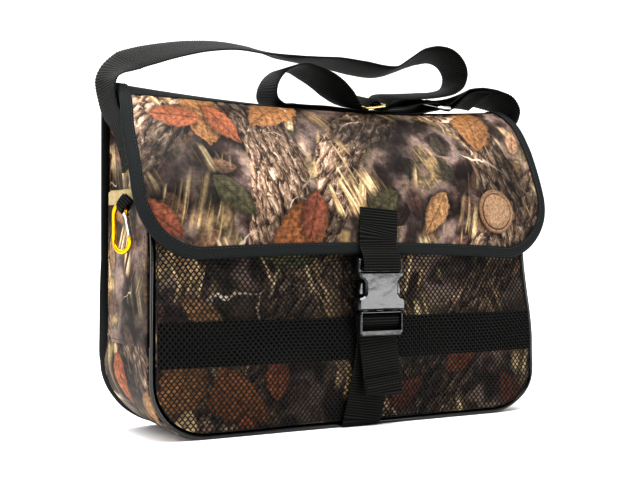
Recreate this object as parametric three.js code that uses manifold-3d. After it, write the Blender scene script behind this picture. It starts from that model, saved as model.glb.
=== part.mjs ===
// A camouflage shoulder bag for carrying gun-dog training dummies: a soft wedge-shaped body with a net front
// pocket, a flap closed by a side-release buckle, a webbing shoulder strap and a small carabiner at the side.
// Millimetres, +Z up, -Y out of the front, +X to the front's right. The origin is the middle of the base.
import * as THREE from "three";
import { mergeVertices } from "three/addons/utils/BufferGeometryUtils.js";
import Module from "manifold-3d";

const wasm = await Module();
wasm.setup();

// Driving dimensions
const GAP = 0.4; // clearance between neighbouring pieces
const BODY = { half: 200, front: -46, back: 45, mouth: 268, cloth: 2, frontRadius: 50, backRadius: 64 };
const PIPING = { radius: 2.5, inset: 2.7 };
const BACK_FIN = { width: 6.2, thickness: 3.5 };
const NET = { standOff: 1.8, thickness: 1 };
const FRONT_BAND = { low: 60, high: 98, thickness: 1 };
const FLAP = { half: 213, cloth: 2, cornerRadius: 58, bindWidth: 8.5, bindThickness: 1, sideRows: 16 };
const WEBBING = { width: 40, thickness: 1.8 };
const BUCKLE = { x: 10, back: -59.5, jointZ: 103.8, width: 49, thickness: 12, socket: 46, plug: 22.5 };
const PATCH = { x: 149, hemDistance: 40, radius: 20, thickness: 2.2 };
const POCKET = { bottom: 78, top: 207, front: -42, back: 40, cloth: 1.8, fullness: 3 };
const CARABINER = { wire: 4, x: -211.5, y: -16, z: 175.2, turn: 20 };

// The front of the body from base to mouth: where its side seam runs, and how far the middle stands proud.
const FRONT_PROFILE = [
  { z: 0, rim: -46, belly: 1 },
  { z: 40, rim: -46, belly: 6 },
  { z: 110, rim: -46, belly: 7 },
  { z: 172, rim: -45, belly: 5 },
  { z: 215, rim: -28, belly: 4 },
  { z: 250, rim: -10, belly: 3 },
  { z: 268, rim: -1, belly: 2 },
];

// The flap from the back seam over the crest to the hem: its run at the sides, its half width there,
// and how far the soft middle stands forward and drops.
const FLAP_PROFILE = [
  { at: "back seam", y: 45.6, z: 258, half: 198, forward: 0, drop: 0 },
  { at: "back shoulder", y: 43, z: 283, half: 200, forward: 0, drop: 8 },
  { at: "crest", y: 18, z: 297, half: 203, forward: 0, drop: 10 },
  { at: "brow", y: -7, z: 284, half: 209, forward: 5, drop: 9 },
  { at: "slope", y: -24, z: 257, half: 213, forward: 8, drop: 5 },
  { at: "chest", y: -38.5, z: 225, half: 213, forward: 9.5, drop: 2 },
  { at: "front", y: -47.5, z: 192, half: 213, forward: 10.5, drop: 0 },
  { at: "hem", y: -50, z: 147, half: 213, forward: 10, drop: -8 },
];

// Colours and finishes
function finish(color, roughness, metalness = 0) {
  return new THREE.MeshStandardMaterial({ color, roughness, metalness });
}
const MATERIAL = {
  camo: finish(0x5b4636, 0.7),
  webbing: finish(0x1c1c1a, 0.8),
  binding: finish(0x1b2021, 0.85),
  net: finish(0x121314, 0.6),
  piping: finish(0x14181a, 0.25),
  plastic: finish(0x1a1b1c, 0.35),
  brass: finish(0xc9a25a, 0.3, 1),
  steel: finish(0xc6c8ca, 0.3, 1),
  leather: finish(0xb08a64, 0.6),
  yellow: finish(0xe0a410, 0.3, 1),
  aluminium: finish(0xd8d8da, 0.3, 1),
};

const bag = new THREE.Group();
const vec = (x, y, z) => new THREE.Vector3(x, y, z);
const mix = THREE.MathUtils.lerp;

function addPiece(name, geometry, material, parent = bag) {
  const mesh = new THREE.Mesh(geometry, material);
  mesh.name = name;
  parent.add(mesh);
  return mesh;
}

// Solids from grids of points

// Makes a geometry from vertices and triangles, turned so that its faces point out.
function closedGeometry(vertices, triangles) {
  const volume = triangles.reduce((sum, [a, b, c]) => {
    const cross = new THREE.Vector3().crossVectors(vertices[b], vertices[c]);
    return sum + vertices[a].dot(cross);
  }, 0);
  const index = triangles.flatMap(([a, b, c]) => (volume < 0 ? [a, c, b] : [a, b, c]));
  const geometry = new THREE.BufferGeometry().setFromPoints(vertices);
  geometry.setIndex(index);
  return geometry;
}

// Closes two matching grids, an outer and an inner face of rows of points, into one wall.
function wallBetween(outer, inner) {
  const rows = outer.length;
  const columns = outer[0].length;
  const vertices = [...outer.flat(), ...inner.flat()];
  const top = (r, c) => r * columns + c;
  const under = (r, c) => rows * columns + top(r, c);
  const triangles = [];
  const quad = (a, b, c, d) => triangles.push([a, b, c], [a, c, d]);
  for (let r = 0; r < rows - 1; r++) {
    for (let c = 0; c < columns - 1; c++) {
      quad(top(r, c), top(r, c + 1), top(r + 1, c + 1), top(r + 1, c));
      quad(under(r, c), under(r + 1, c), under(r + 1, c + 1), under(r, c + 1));
    }
    quad(top(r, 0), top(r + 1, 0), under(r + 1, 0), under(r, 0));
    quad(top(r, columns - 1), under(r, columns - 1), under(r + 1, columns - 1), top(r + 1, columns - 1));
  }
  for (let c = 0; c < columns - 1; c++) {
    quad(top(0, c), under(0, c), under(0, c + 1), top(0, c + 1));
    quad(top(rows - 1, c), top(rows - 1, c + 1), under(rows - 1, c + 1), under(rows - 1, c));
  }
  return closedGeometry(vertices, triangles);
}

// Skins a row of closed sections, each a loop of points, with flat ends.
function loft(sections) {
  const count = sections[0].length;
  const vertices = sections.flat();
  const triangles = [];
  for (let s = 0; s < sections.length - 1; s++) {
    for (let i = 0; i < count; i++) {
      const a = s * count + i;
      const b = s * count + ((i + 1) % count);
      triangles.push([a, b, b + count], [a, b + count, a + count]);
    }
  }
  const last = (sections.length - 1) * count;
  const ends = THREE.ShapeUtils.triangulateShape(flattened(sections[0]), []);
  for (const [a, b, c] of ends) triangles.push([a, c, b], [last + a, last + b, last + c]);
  return closedGeometry(vertices, triangles);
}

// A section's loop in its own plane, for cutting its end faces into triangles.
function flattened(section) {
  const u = section[1].clone().sub(section[0]).normalize();
  const far = section[2].clone().sub(section[0]);
  const v = far.sub(u.clone().multiplyScalar(far.dot(u))).normalize();
  const points = section.map((p) => p.clone().sub(section[0]));
  return points.map((p) => new THREE.Vector2(p.dot(u), p.dot(v)));
}

// Booleans
function toSolid(geometry) {
  const bare = geometry.clone();
  bare.deleteAttribute("normal");
  bare.deleteAttribute("uv");
  const merged = mergeVertices(bare, 1e-4);
  const mesh = { numProp: 3, vertProperties: merged.attributes.position.array };
  return new wasm.Manifold(new wasm.Mesh({ ...mesh, triVerts: new Uint32Array(merged.index.array) }));
}

function toGeometry(solid) {
  const { numProp, vertProperties, triVerts } = solid.getMesh();
  const geometry = new THREE.BufferGeometry();
  const points = [];
  for (let i = 0; i < vertProperties.length; i += numProp) {
    points.push(vec(vertProperties[i], vertProperties[i + 1], vertProperties[i + 2]));
  }
  geometry.setFromPoints(points);
  geometry.setIndex([...triVerts]);
  return geometry;
}

// Body outlines

// A U-shaped outline in the XZ plane: t runs 0 to 5 down the left side, round the corner, along the base,
// round the right corner and up. It returns the point and the way out of the U.
function uOutline(t, { half, radius, top, inset = 0 }) {
  const left = t <= 2.5;
  const s = left ? t : 5 - t;
  const sign = left ? -1 : 1;
  const centre = half - radius;
  if (s <= 1) return { x: sign * (half - inset), z: mix(top, radius, s), outX: sign, outZ: 0 };
  const angle = Math.min(s - 1, 1) * (Math.PI / 2);
  const outX = s <= 2 ? sign * Math.cos(angle) : 0;
  const outZ = s <= 2 ? -Math.sin(angle) : -1;
  const along = s <= 2 ? sign * centre : mix(-centre, centre, t - 2);
  return { x: along + (radius - inset) * outX, z: radius + (radius - inset) * outZ, outX, outZ };
}

// The values of t that cut the U into steps: on each side, round each corner and along the base.
function uSteps(side, corner, base) {
  const counts = [side, corner, base, corner, side];
  const steps = counts.flatMap((n, k) => Array.from({ length: n }, (_, i) => k + i / n));
  return [...steps, 5];
}

// Reads a column of a profile table at a height, on a smooth curve through its rows.
function columnAt(table, key, z) {
  const curve = new THREE.SplineCurve(table.map((row) => new THREE.Vector2(row.z, row[key])));
  const k = table.findIndex((row) => row.z > z);
  const i = k < 0 ? table.length - 2 : Math.max(k - 1, 0);
  const share = (z - table[i].z) / (table[i + 1].z - table[i].z);
  return curve.getPoint((i + THREE.MathUtils.clamp(share, 0, 1)) / (table.length - 1)).y;
}

const rimY = (z) => columnAt(FRONT_PROFILE, "rim", z);
// 1 in the middle of a panel, 0 at its side edges.
const swell = (x, half, power = 2) => Math.max(0, 1 - Math.abs(x / half) ** power);

// The front of the body at x and z, on the middle of its cloth.
function frontPoint(x, z) {
  return vec(x, rimY(z) - columnAt(FRONT_PROFILE, "belly", z) * swell(x, BODY.half), z);
}

// Heights of the rows of a panel with rounded lower corners: close together in the corner, then evenly up.
function panelHeights(low, radius, top, cornerRows, upperRows) {
  const quarter = Math.PI / 2 / cornerRows;
  const corner = Array.from({ length: cornerRows }, (_, i) => low + radius * (1 - Math.cos(i * quarter)));
  const upper = Array.from({ length: upperRows + 1 }, (_, i) => mix(low + radius, top, i / upperRows));
  return [...corner, ...upper];
}

// Half the width of such a panel at a height above its lowest edge.
function cornerHalf(height, half, radius) {
  if (height >= radius) return half;
  return half - radius + Math.sqrt(Math.max(0, radius ** 2 - (radius - height) ** 2));
}

// A sheet of cloth of even thickness over rows of heights, with columns spread across its width.
function clothPanel({ heights, columns, halfAt, pointAt, thickness, offset = 0 }) {
  const face = (shift) =>
    heights.map((z) =>
      Array.from({ length: columns + 1 }, (_, c) => {
        const x = mix(-1, 1, c / columns) * halfAt(z);
        const step = 0.5;
        const alongX = pointAt(x + step, z).sub(pointAt(x - step, z));
        const alongZ = pointAt(x, z + step).sub(pointAt(x, z - step));
        const normal = alongX.cross(alongZ).normalize();
        return pointAt(x, z).addScaledVector(normal, offset + shift);
      }),
    );
  return wallBetween(face(thickness / 2), face(-thickness / 2));
}

// Back, front and net panels
const panelInset = PIPING.inset + PIPING.radius + 1.5 * GAP;
const frontHalf = BODY.half - panelInset;
const frontCorner = BODY.frontRadius - panelInset;

function backPanel() {
  const seamZ = FLAP_PROFILE[0].z - 2 * GAP;
  const fullness = 4;
  return clothPanel({
    heights: panelHeights(0.2, BODY.backRadius, seamZ, 6, 6),
    columns: 12,
    halfAt: (z) => cornerHalf(z, BODY.half, BODY.backRadius),
    pointAt: (x, z) => {
      const full = fullness * swell(x, BODY.half) * Math.sin((Math.PI * z) / seamZ);
      return vec(x, BODY.back + full, z);
    },
    thickness: BODY.cloth,
  });
}

function frontPanel(offset, thickness, top, columns, upperRows) {
  return clothPanel({
    heights: panelHeights(panelInset, frontCorner, top, 5, upperRows),
    columns,
    halfAt: (z) => cornerHalf(z - panelInset, frontHalf, frontCorner),
    pointAt: frontPoint,
    thickness,
    offset,
  });
}

addPiece("back_panel", backPanel(), MATERIAL.camo);
addPiece("front_panel", frontPanel(0, BODY.cloth, BODY.mouth, 12, 10), MATERIAL.camo);
const netOffset = BODY.cloth / 2 + NET.standOff + NET.thickness / 2;
addPiece("net_pocket", frontPanel(netOffset, NET.thickness, 240, 12, 9), MATERIAL.net);

// A flat band of webbing across the front panel, under the net
function frontBand() {
  const { low, high, thickness } = FRONT_BAND;
  return clothPanel({
    heights: [low, (low + high) / 2, high],
    columns: 12,
    halfAt: () => frontHalf,
    pointAt: frontPoint,
    thickness,
    offset: BODY.cloth / 2 + NET.standOff / 2,
  });
}
addPiece("front_band", frontBand(), MATERIAL.webbing);

// Gusset: one band down the left side, under the base and up the right side
function gusset() {
  const frontRecess = PIPING.radius + 1;
  const backEdge = BODY.back - BODY.cloth / 2 - GAP;
  const face = (inset) =>
    uSteps(9, 6, 6).map((t) =>
      [0, 0.33, 0.67, 1].map((v) => {
        const radius = mix(BODY.frontRadius, BODY.backRadius, v);
        const { x, z } = uOutline(t, { half: BODY.half, radius, top: BODY.mouth, inset });
        return vec(x, mix(rimY(z) + frontRecess, backEdge, v), z);
      }),
    );
  return wallBetween(face(0), face(BODY.cloth));
}
addPiece("gusset", gusset(), MATERIAL.camo);

// Piping: a round cord in the front seam
function piping() {
  const sides = 8;
  const size = { half: BODY.half, radius: BODY.frontRadius, top: BODY.mouth, inset: PIPING.inset };
  const steps = uSteps(9, 7, 8);
  const centre = (t) => {
    const { x, z } = uOutline(THREE.MathUtils.clamp(t, 0, 5), size);
    return vec(x, rimY(z), z);
  };
  const sections = steps.map((t) => {
    const { outX, outZ } = uOutline(t, size);
    const tangent = centre(t + 0.02).sub(centre(t - 0.02)).normalize();
    const out = vec(outX, 0, outZ);
    out.addScaledVector(tangent, -out.dot(tangent)).normalize();
    const across = tangent.clone().cross(out);
    return Array.from({ length: sides }, (_, k) => {
      const angle = (k / sides) * 2 * Math.PI;
      const p = centre(t).addScaledVector(out, PIPING.radius * Math.cos(angle));
      return p.addScaledVector(across, PIPING.radius * Math.sin(angle));
    });
  });
  return loft(sections);
}
addPiece("front_piping", piping(), MATERIAL.piping);

// Back binding: a taped fin on the back seam that stands sideways on the walls and turns back under the base
function backBinding() {
  const size = { half: BODY.half, radius: BODY.backRadius, top: BODY.mouth };
  const corner = BODY.back + BODY.cloth / 2;
  const backY = vec(0, 1, 0);
  const sections = uSteps(5, 6, 4).map((t) => {
    const { x, z, outX, outZ } = uOutline(t, size);
    const turned = THREE.MathUtils.clamp((Math.min(t, 5 - t) - 0.8) / 0.7, 0, 1);
    const angle = (turned * Math.PI) / 2;
    const out = vec(outX, 0, outZ);
    const along = out.clone().multiplyScalar(Math.cos(angle)).addScaledVector(backY, Math.sin(angle));
    const thick = backY.clone().multiplyScalar(Math.cos(angle)).addScaledVector(out, -Math.sin(angle));
    const shift = mix(-BACK_FIN.thickness - 0.3, 0.3, turned);
    const base = vec(x, corner, z).addScaledVector(along, 2 * GAP).addScaledVector(thick, shift);
    const corners = [[0, 0], [1, 0], [1, 1], [0, 1]];
    return corners.map(([a, b]) =>
      base.clone().addScaledVector(along, a * BACK_FIN.width).addScaledVector(thick, b * BACK_FIN.thickness),
    );
  });
  return loft(sections);
}
addPiece("back_binding", backBinding(), MATERIAL.binding);

// Flap
const flapCurves = new Map();

// The flap's section at x, as a curve from the back seam to the hem.
function flapCurve(x) {
  const key = x.toFixed(3);
  if (!flapCurves.has(key)) {
    const soft = swell(x, FLAP.half);
    const flat = swell(x, FLAP.half, 4);
    const points = FLAP_PROFILE.map((row) => vec(x, row.y - row.forward * flat, row.z - row.drop * soft));
    flapCurves.set(key, new THREE.CatmullRomCurve3(points, false, "centripetal"));
  }
  return flapCurves.get(key);
}

const flapLength = flapCurve(0).getLength();

// A point of the flap at x across its full width and at a distance from the hem along its length.
function flapMiddle(x, hemDistance) {
  const share = THREE.MathUtils.clamp(1 - hemDistance / flapLength, 0, 1);
  const point = flapCurve(x).getPointAt(share);
  point.x = x * (flapHalf(share) / FLAP.half);
  return point;
}

// Half the flap's width at a share of its length from the back seam.
function flapHalf(share) {
  const curve = new THREE.SplineCurve(FLAP_PROFILE.map((row, i) => new THREE.Vector2(i, row.half)));
  const t = flapCurve(0).getUtoTmapping(share);
  return Math.min(curve.getPoint(t).y, FLAP.half);
}

// The flap's surface raised by a height along its normal, which points out of the bag.
function flapPoint(x, hemDistance, height) {
  const step = 0.6;
  const near = Math.max(hemDistance - step, 0);
  const far = Math.min(hemDistance + step, flapLength);
  const alongX = flapMiddle(x + step, hemDistance).sub(flapMiddle(x - step, hemDistance));
  const alongL = flapMiddle(x, far).sub(flapMiddle(x, near));
  return flapMiddle(x, hemDistance).addScaledVector(alongX.cross(alongL).normalize(), height);
}

function flap() {
  const columns = 16;
  const rows = panelHeights(0, FLAP.cornerRadius, flapLength, 6, FLAP.sideRows);
  const face = (height) =>
    rows.map((d) =>
      Array.from({ length: columns + 1 }, (_, c) =>
        flapPoint(mix(-1, 1, c / columns) * cornerHalf(d, FLAP.half, FLAP.cornerRadius), d, height),
      ),
    );
  return wallBetween(face(FLAP.cloth / 2), face(-FLAP.cloth / 2));
}
addPiece("flap", flap(), MATERIAL.camo);

// Flap binding: tape folded round the flap's free edge
function flapBinding() {
  const bound = FLAP.sideRows - 1;
  const top = mix(FLAP.cornerRadius, flapLength, bound / FLAP.sideRows);
  const size = { half: FLAP.half, radius: FLAP.cornerRadius, top };
  const inner = FLAP.cloth / 2 + 1.7 * GAP;
  const outer = inner + FLAP.bindThickness;
  const fold = [
    { inset: FLAP.bindWidth, height: outer },
    { inset: -GAP - FLAP.bindThickness, height: outer },
    { inset: -GAP - FLAP.bindThickness, height: -outer },
    { inset: FLAP.bindWidth, height: -outer },
    { inset: FLAP.bindWidth, height: -inner },
    { inset: -GAP, height: -inner },
    { inset: -GAP, height: inner },
    { inset: FLAP.bindWidth, height: inner },
  ];
  const sections = uSteps(bound, 6, 14).map((t) =>
    fold.map(({ inset, height }) => {
      const { x, z } = uOutline(t, { ...size, inset });
      const beyond = Math.min(z, 0);
      const point = flapPoint(x, Math.max(z, 0), height);
      const down = flapMiddle(x, 0).sub(flapMiddle(x, 1)).normalize();
      return point.addScaledVector(down, -beyond);
    }),
  );
  return loft(sections);
}
addPiece("flap_binding", flapBinding(), MATERIAL.binding);

// Leather patch: a plain round badge sewn to the flap's right side and bent to its curve
function leatherPatch() {
  const geometry = new THREE.CylinderGeometry(PATCH.radius, PATCH.radius, PATCH.thickness, 32);
  const middle = FLAP.cloth / 2 + 2 * GAP + PATCH.thickness / 2;
  const position = geometry.attributes.position;
  for (let i = 0; i < position.count; i++) {
    const hemDistance = PATCH.hemDistance - position.getZ(i);
    const point = flapPoint(PATCH.x + position.getX(i), hemDistance, middle + position.getY(i));
    position.setXYZ(i, point.x, point.y, point.z);
  }
  return geometry;
}
addPiece("leather_patch", leatherPatch(), MATERIAL.leather);

// Webbing

// A flat strap swept along a smooth curve through a route of rows { x, y, z, tilt }. Its width lies along the
// given axis, turned about the route by tilt in degrees. Long spans between rows get more sections.
function strap(route, { axis = vec(0, 1, 0), width = WEBBING.width, thickness = WEBBING.thickness }) {
  const knots = route.map((row) => vec(row.x, row.y, row.z));
  const curve = new THREE.CatmullRomCurve3(knots, false, "centripetal");
  const spans = knots.length - 1;
  const stops = knots.slice(0, -1).flatMap((knot, i) => {
    const count = THREE.MathUtils.clamp(Math.round(knot.distanceTo(knots[i + 1]) / 9), 2, 3);
    return Array.from({ length: count }, (_, k) => i + k / count);
  });
  const sections = [...stops, spans].map((stop) => {
    const i = Math.min(Math.floor(stop), spans - 1);
    const tilt = mix(route[i].tilt ?? 0, route[i + 1].tilt ?? 0, stop - i);
    const tangent = curve.getTangent(stop / spans);
    const side = axis.clone().addScaledVector(tangent, -axis.dot(tangent)).normalize();
    side.applyAxisAngle(tangent, THREE.MathUtils.degToRad(tilt));
    const up = tangent.clone().cross(side);
    const corners = [[-1, -1], [1, -1], [1, 1], [-1, 1]];
    const centre = curve.getPoint(stop / spans);
    return corners.map(([a, b]) =>
      centre.clone().addScaledVector(side, (a * width) / 2).addScaledVector(up, (b * thickness) / 2),
    );
  });
  return loft(sections);
}

// Shoulder strap. The slider and the ring lie on the crest: their bars run front to back.
const STRAP_Y = 22;
const SLIDER = { x: 52, z: 298, slopeDegrees: 10, length: 24, width: 50, bar: 3, thickness: 2.4 };
const RING = { x: 132, z: 302, length: 17, width: 51, wire: 3.5 };
const barClear = WEBBING.thickness / 2 + GAP;
const sliderSlope = THREE.MathUtils.degToRad(SLIDER.slopeDegrees);
const ringBar = (RING.length - RING.wire) / 2;
const rootX = BODY.half + 2 * GAP + WEBBING.thickness / 2;

// Rows of a strap's route round a bar of the ring, between two angles in degrees.
function roundRingBar(x, from, to) {
  const reach = RING.wire / 2 + barClear + 0.1;
  return Array.from({ length: 7 }, (_, i) => {
    const angle = THREE.MathUtils.degToRad(mix(from, to, i / 6));
    return { x: x + reach * Math.cos(angle), y: STRAP_Y, z: RING.z + reach * Math.sin(angle) };
  });
}

// Rows of a strap's route across the slider, from pairs of distances along and above its slope.
function acrossSlider(pairs) {
  const along = vec(Math.cos(sliderSlope), 0, Math.sin(sliderSlope));
  const above = vec(-along.z, 0, along.x);
  const middle = vec(SLIDER.x, STRAP_Y, SLIDER.z);
  return pairs.map(([a, b]) => middle.clone().addScaledVector(along, a).addScaledVector(above, b));
}

// From the left wall over the top to the slack loop on the right.
const OVER_TOP = [
  { x: -rootX, y: -11, z: 228 },
  { x: -rootX, y: -8, z: 237 },
  { x: -rootX - 0.8, y: -1, z: 250 },
  { x: -rootX - 2.8, y: 8, z: 262 },
  { x: -rootX - 8, y: 14, z: 275 },
  { x: -rootX - 10.2, y: 18, z: 288 },
  { x: -rootX - 9.4, y: 20, z: 301, tilt: 6 },
  { x: -203, y: STRAP_Y, z: 312, tilt: 20 },
  { x: -191, y: STRAP_Y, z: 320, tilt: 30 },
  { x: -173, y: STRAP_Y, z: 326.5, tilt: 29 },
  { x: -150, y: STRAP_Y, z: 333, tilt: 25 },
  { x: -124, y: STRAP_Y, z: 338.5, tilt: 21 },
  { x: -95, y: STRAP_Y, z: 341.3, tilt: 18 },
  { x: -67, y: STRAP_Y, z: 339.6, tilt: 17 },
  { x: -38, y: STRAP_Y, z: 336.3, tilt: 5 },
  { x: -12, y: STRAP_Y, z: 335.4 },
  { x: 14, y: STRAP_Y, z: 334.8, tilt: -6 },
  { x: 43, y: STRAP_Y, z: 332, tilt: -10 },
  { x: 66, y: STRAP_Y, z: 330.2, tilt: -9 },
  { x: 80, y: STRAP_Y, z: 331.6, tilt: -8 },
  { x: 98, y: STRAP_Y, z: 340, tilt: -15 },
  { x: 113, y: STRAP_Y, z: 347.5, tilt: -20 },
  { x: 128, y: STRAP_Y, z: 351.5, tilt: -19 },
  { x: 143, y: STRAP_Y, z: 351.5, tilt: -13 },
  { x: 155, y: STRAP_Y, z: 345, tilt: -7 },
  { x: 161, y: STRAP_Y, z: 334, tilt: -3 },
  { x: 157, y: STRAP_Y, z: 322 },
  { x: 145, y: STRAP_Y, z: 315 },
  { x: 124, y: STRAP_Y, z: 311 },
  { x: 98, y: STRAP_Y, z: 308 },
];
// Under the slider's right bar, over the middle one and under the left one.
const THROUGH_SLIDER = acrossSlider([
  [20, 3.2], [14.6, -1.2], [10.4, -3], [7.9, -2], [6.9, 0], [5.4, 2.6], [3.2, 4.6], [0, 5.3],
  [-3.2, 4.6], [-5.4, 2.6], [-6.9, 0], [-7.9, -2], [-10, -2.8],
]);
// Round the standing loop and back to the right along the crest.
const ALONG_CREST = [
  { x: 37.5, y: STRAP_Y, z: 293.8 },
  { x: 32, y: STRAP_Y, z: 297.6, tilt: 5 },
  { x: 25, y: STRAP_Y, z: 303.4, tilt: 11 },
  { x: 15, y: STRAP_Y, z: 310.6, tilt: 15 },
  { x: 4, y: STRAP_Y, z: 317.4, tilt: 14 },
  { x: -10, y: STRAP_Y, z: 323.2, tilt: 10 },
  { x: -24, y: STRAP_Y, z: 327, tilt: 4 },
  { x: -39, y: STRAP_Y, z: 324 },
  { x: -49.5, y: STRAP_Y, z: 316 },
  { x: -55, y: STRAP_Y, z: 306 },
  { x: -54.5, y: 23, z: 297 },
  { x: -49, y: 24, z: 291.8 },
  { x: -38, y: 26, z: 290, tilt: -3 },
  { x: 0, y: 27, z: 289.8, tilt: -4 },
  { x: 40, y: 26, z: 290.4, tilt: -3 },
  { x: 80, y: 24, z: 291.6 },
  { x: 104, y: STRAP_Y, z: 294 },
  { x: 117, y: STRAP_Y, z: 297.2 },
];
// Back from the ring, up through the slider and round its middle bar.
const TO_MIDDLE_BAR = [
  { x: 107, y: STRAP_Y, z: 303.8 },
  { x: 88, y: STRAP_Y, z: 299.4 },
  ...acrossSlider([
    [18, -4.2], [12, -5.1], [8, -5], [5.5, -3.7], [4.3, -1.5], [3.6, 0.3], [2.6, 2], [0.5, 2.7], [-1.5, 2.7],
  ]),
];
const SHOULDER_ROUTE = [
  ...OVER_TOP,
  ...THROUGH_SLIDER,
  ...ALONG_CREST,
  ...roundRingBar(RING.x - ringBar, -95, 90),
  ...TO_MIDDLE_BAR,
];
addPiece("shoulder_strap", strap(SHOULDER_ROUTE, {}), MATERIAL.webbing);

// The short strap on the right wall, folded round the ring and sewn back on itself.
const SHORT_ROUTE = [
  { x: rootX, y: -11, z: 228 },
  { x: rootX, y: -8, z: 237 },
  { x: rootX + 0.8, y: -1, z: 250 },
  { x: rootX + 2.8, y: 8, z: 262 },
  { x: rootX + 7, y: 14, z: 275 },
  { x: rootX + 17, y: 17, z: 286 },
  { x: rootX + 22, y: 19, z: 296 },
  { x: rootX + 18, y: 20, z: 307 },
  { x: 206, y: STRAP_Y, z: 315 },
  { x: 186, y: STRAP_Y, z: 318.6 },
  { x: 164, y: STRAP_Y, z: 315.6 },
  { x: 150, y: STRAP_Y, z: 309.4 },
  ...roundRingBar(RING.x + ringBar, 85, 275),
  { x: 148, y: STRAP_Y, z: 302.8 },
  { x: 155, y: STRAP_Y, z: 308.4 },
  { x: 166, y: STRAP_Y, z: 313.4 },
  { x: 182, y: STRAP_Y, z: 316 },
];
addPiece("short_strap", strap(SHORT_ROUTE, {}), MATERIAL.webbing);

// A flat metal frame: an outline with its windows cut out, its edges broken.
function frameGeometry(outline, windows, thickness, bevel) {
  const shape = new THREE.Shape(outline);
  shape.holes = windows.map((points) => new THREE.Path(points));
  const geometry = new THREE.ExtrudeGeometry(shape, {
    depth: thickness - 2 * bevel,
    bevelThickness: bevel,
    bevelSize: bevel,
    bevelOffset: -bevel,
    bevelSegments: 1,
    curveSegments: 4,
  });
  return geometry.translate(0, 0, bevel - thickness / 2);
}

// A rectangle with cut corners, as a loop of points.
function cutRectangle(x, y, width, height, cut) {
  const w = width / 2;
  const h = height / 2;
  const corners = [
    [-w + cut, -h], [w - cut, -h], [w, -h + cut], [w, h - cut],
    [w - cut, h], [-w + cut, h], [-w, h - cut], [-w, -h + cut],
  ];
  return corners.map(([a, b]) => new THREE.Vector2(x + a, y + b));
}

function slider() {
  const { length, width, bar, thickness } = SLIDER;
  const window = (length - 3 * bar) / 2;
  const windows = [-1, 1].map((side) =>
    cutRectangle(side * (window + bar) / 2, 0, window, width - 2 * bar, 1).reverse(),
  );
  return frameGeometry(cutRectangle(0, 0, length, width, 4), windows, thickness, 0.5);
}
const sliderMesh = addPiece("strap_slider", slider(), MATERIAL.brass);
sliderMesh.position.set(SLIDER.x, STRAP_Y, SLIDER.z);
sliderMesh.rotation.y = -sliderSlope;

function ring() {
  const { length, width, wire } = RING;
  const windows = [cutRectangle(0, 0, length - 2 * wire, width - 2 * wire, 1).reverse()];
  return frameGeometry(cutRectangle(0, 0, length, width, 4), windows, wire, 1);
}
addPiece("strap_ring", ring(), MATERIAL.steel).position.set(RING.x, STRAP_Y, RING.z);

// Buckle: drawn upright in its own plane, with its back at 0 and its face at the full thickness
const buckle = new THREE.Group();
buckle.position.set(BUCKLE.x, BUCKLE.back, BUCKLE.jointZ);
buckle.rotation.x = Math.PI / 2;
bag.add(buckle);

// A solid block between two heights of an outline, with its edges broken by a bevel.
function block(outline, low, high, bevel = 0.8, windows = []) {
  const geometry = frameGeometry(outline, windows, high - low, bevel);
  return toSolid(geometry.translate(0, 0, (low + high) / 2));
}

function boxOutline(left, low, right, high, cut = 0.5) {
  return cutRectangle((left + right) / 2, (low + high) / 2, right - left, high - low, cut);
}

// The outline's right half, mirrored to close it.
function mirrored(rightHalf) {
  const right = rightHalf.map(([x, y]) => new THREE.Vector2(x, y));
  const left = [...right].reverse().map((p) => new THREE.Vector2(-p.x, p.y));
  return [...right, ...left];
}

const SOCKET = { half: BUCKLE.width / 2, shoulder: 34, notchLow: 11, notchHigh: 28, notchHalf: 17 };
const SLOT = { half: 20.8, low: 36.4, high: 42.6 };
const CAVITY = { half: 19.4, low: 3, high: 9, depth: 31 };

function buckleSocket() {
  const { half, shoulder, notchLow, notchHigh, notchHalf } = SOCKET;
  const body = mirrored([
    [half - 1.5, 0], [half, 1.5], [half, notchLow - 3], [half - 2, notchLow], [notchHalf + 2, notchLow + 1],
    [notchHalf, notchLow + 4], [notchHalf, notchHigh - 4], [notchHalf + 2, notchHigh - 1],
    [half - 3, notchHigh], [half - 1.2, notchHigh + 2], [half - 1.2, shoulder],
  ]);
  const frameOutline = boxOutline(-half + 1, shoulder - 4, half - 1, BUCKLE.socket, 2);
  const frame = block(frameOutline, CAVITY.low, CAVITY.high);
  const slot = block(boxOutline(-SLOT.half, SLOT.low, SLOT.half, SLOT.high), -1, BUCKLE.thickness + 1, 0.1);
  const cavity = block(boxOutline(-CAVITY.half, -2, CAVITY.half, CAVITY.depth), CAVITY.low, CAVITY.high, 0.3);
  return toGeometry(block(body, 0, BUCKLE.thickness, 1.6).add(frame).subtract(slot).subtract(cavity));
}
addPiece("buckle_socket", buckleSocket(), MATERIAL.plastic, buckle);

const PLUG = { half: 22.6, top: -0.6, window: 20.8, windowTop: -2.2, foot: -18 };
const MIDDLE_BAR = { low: -10, high: -6, back: 3, face: 7 };
const PRONG = { back: 4.2, face: 7.8 };

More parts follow.
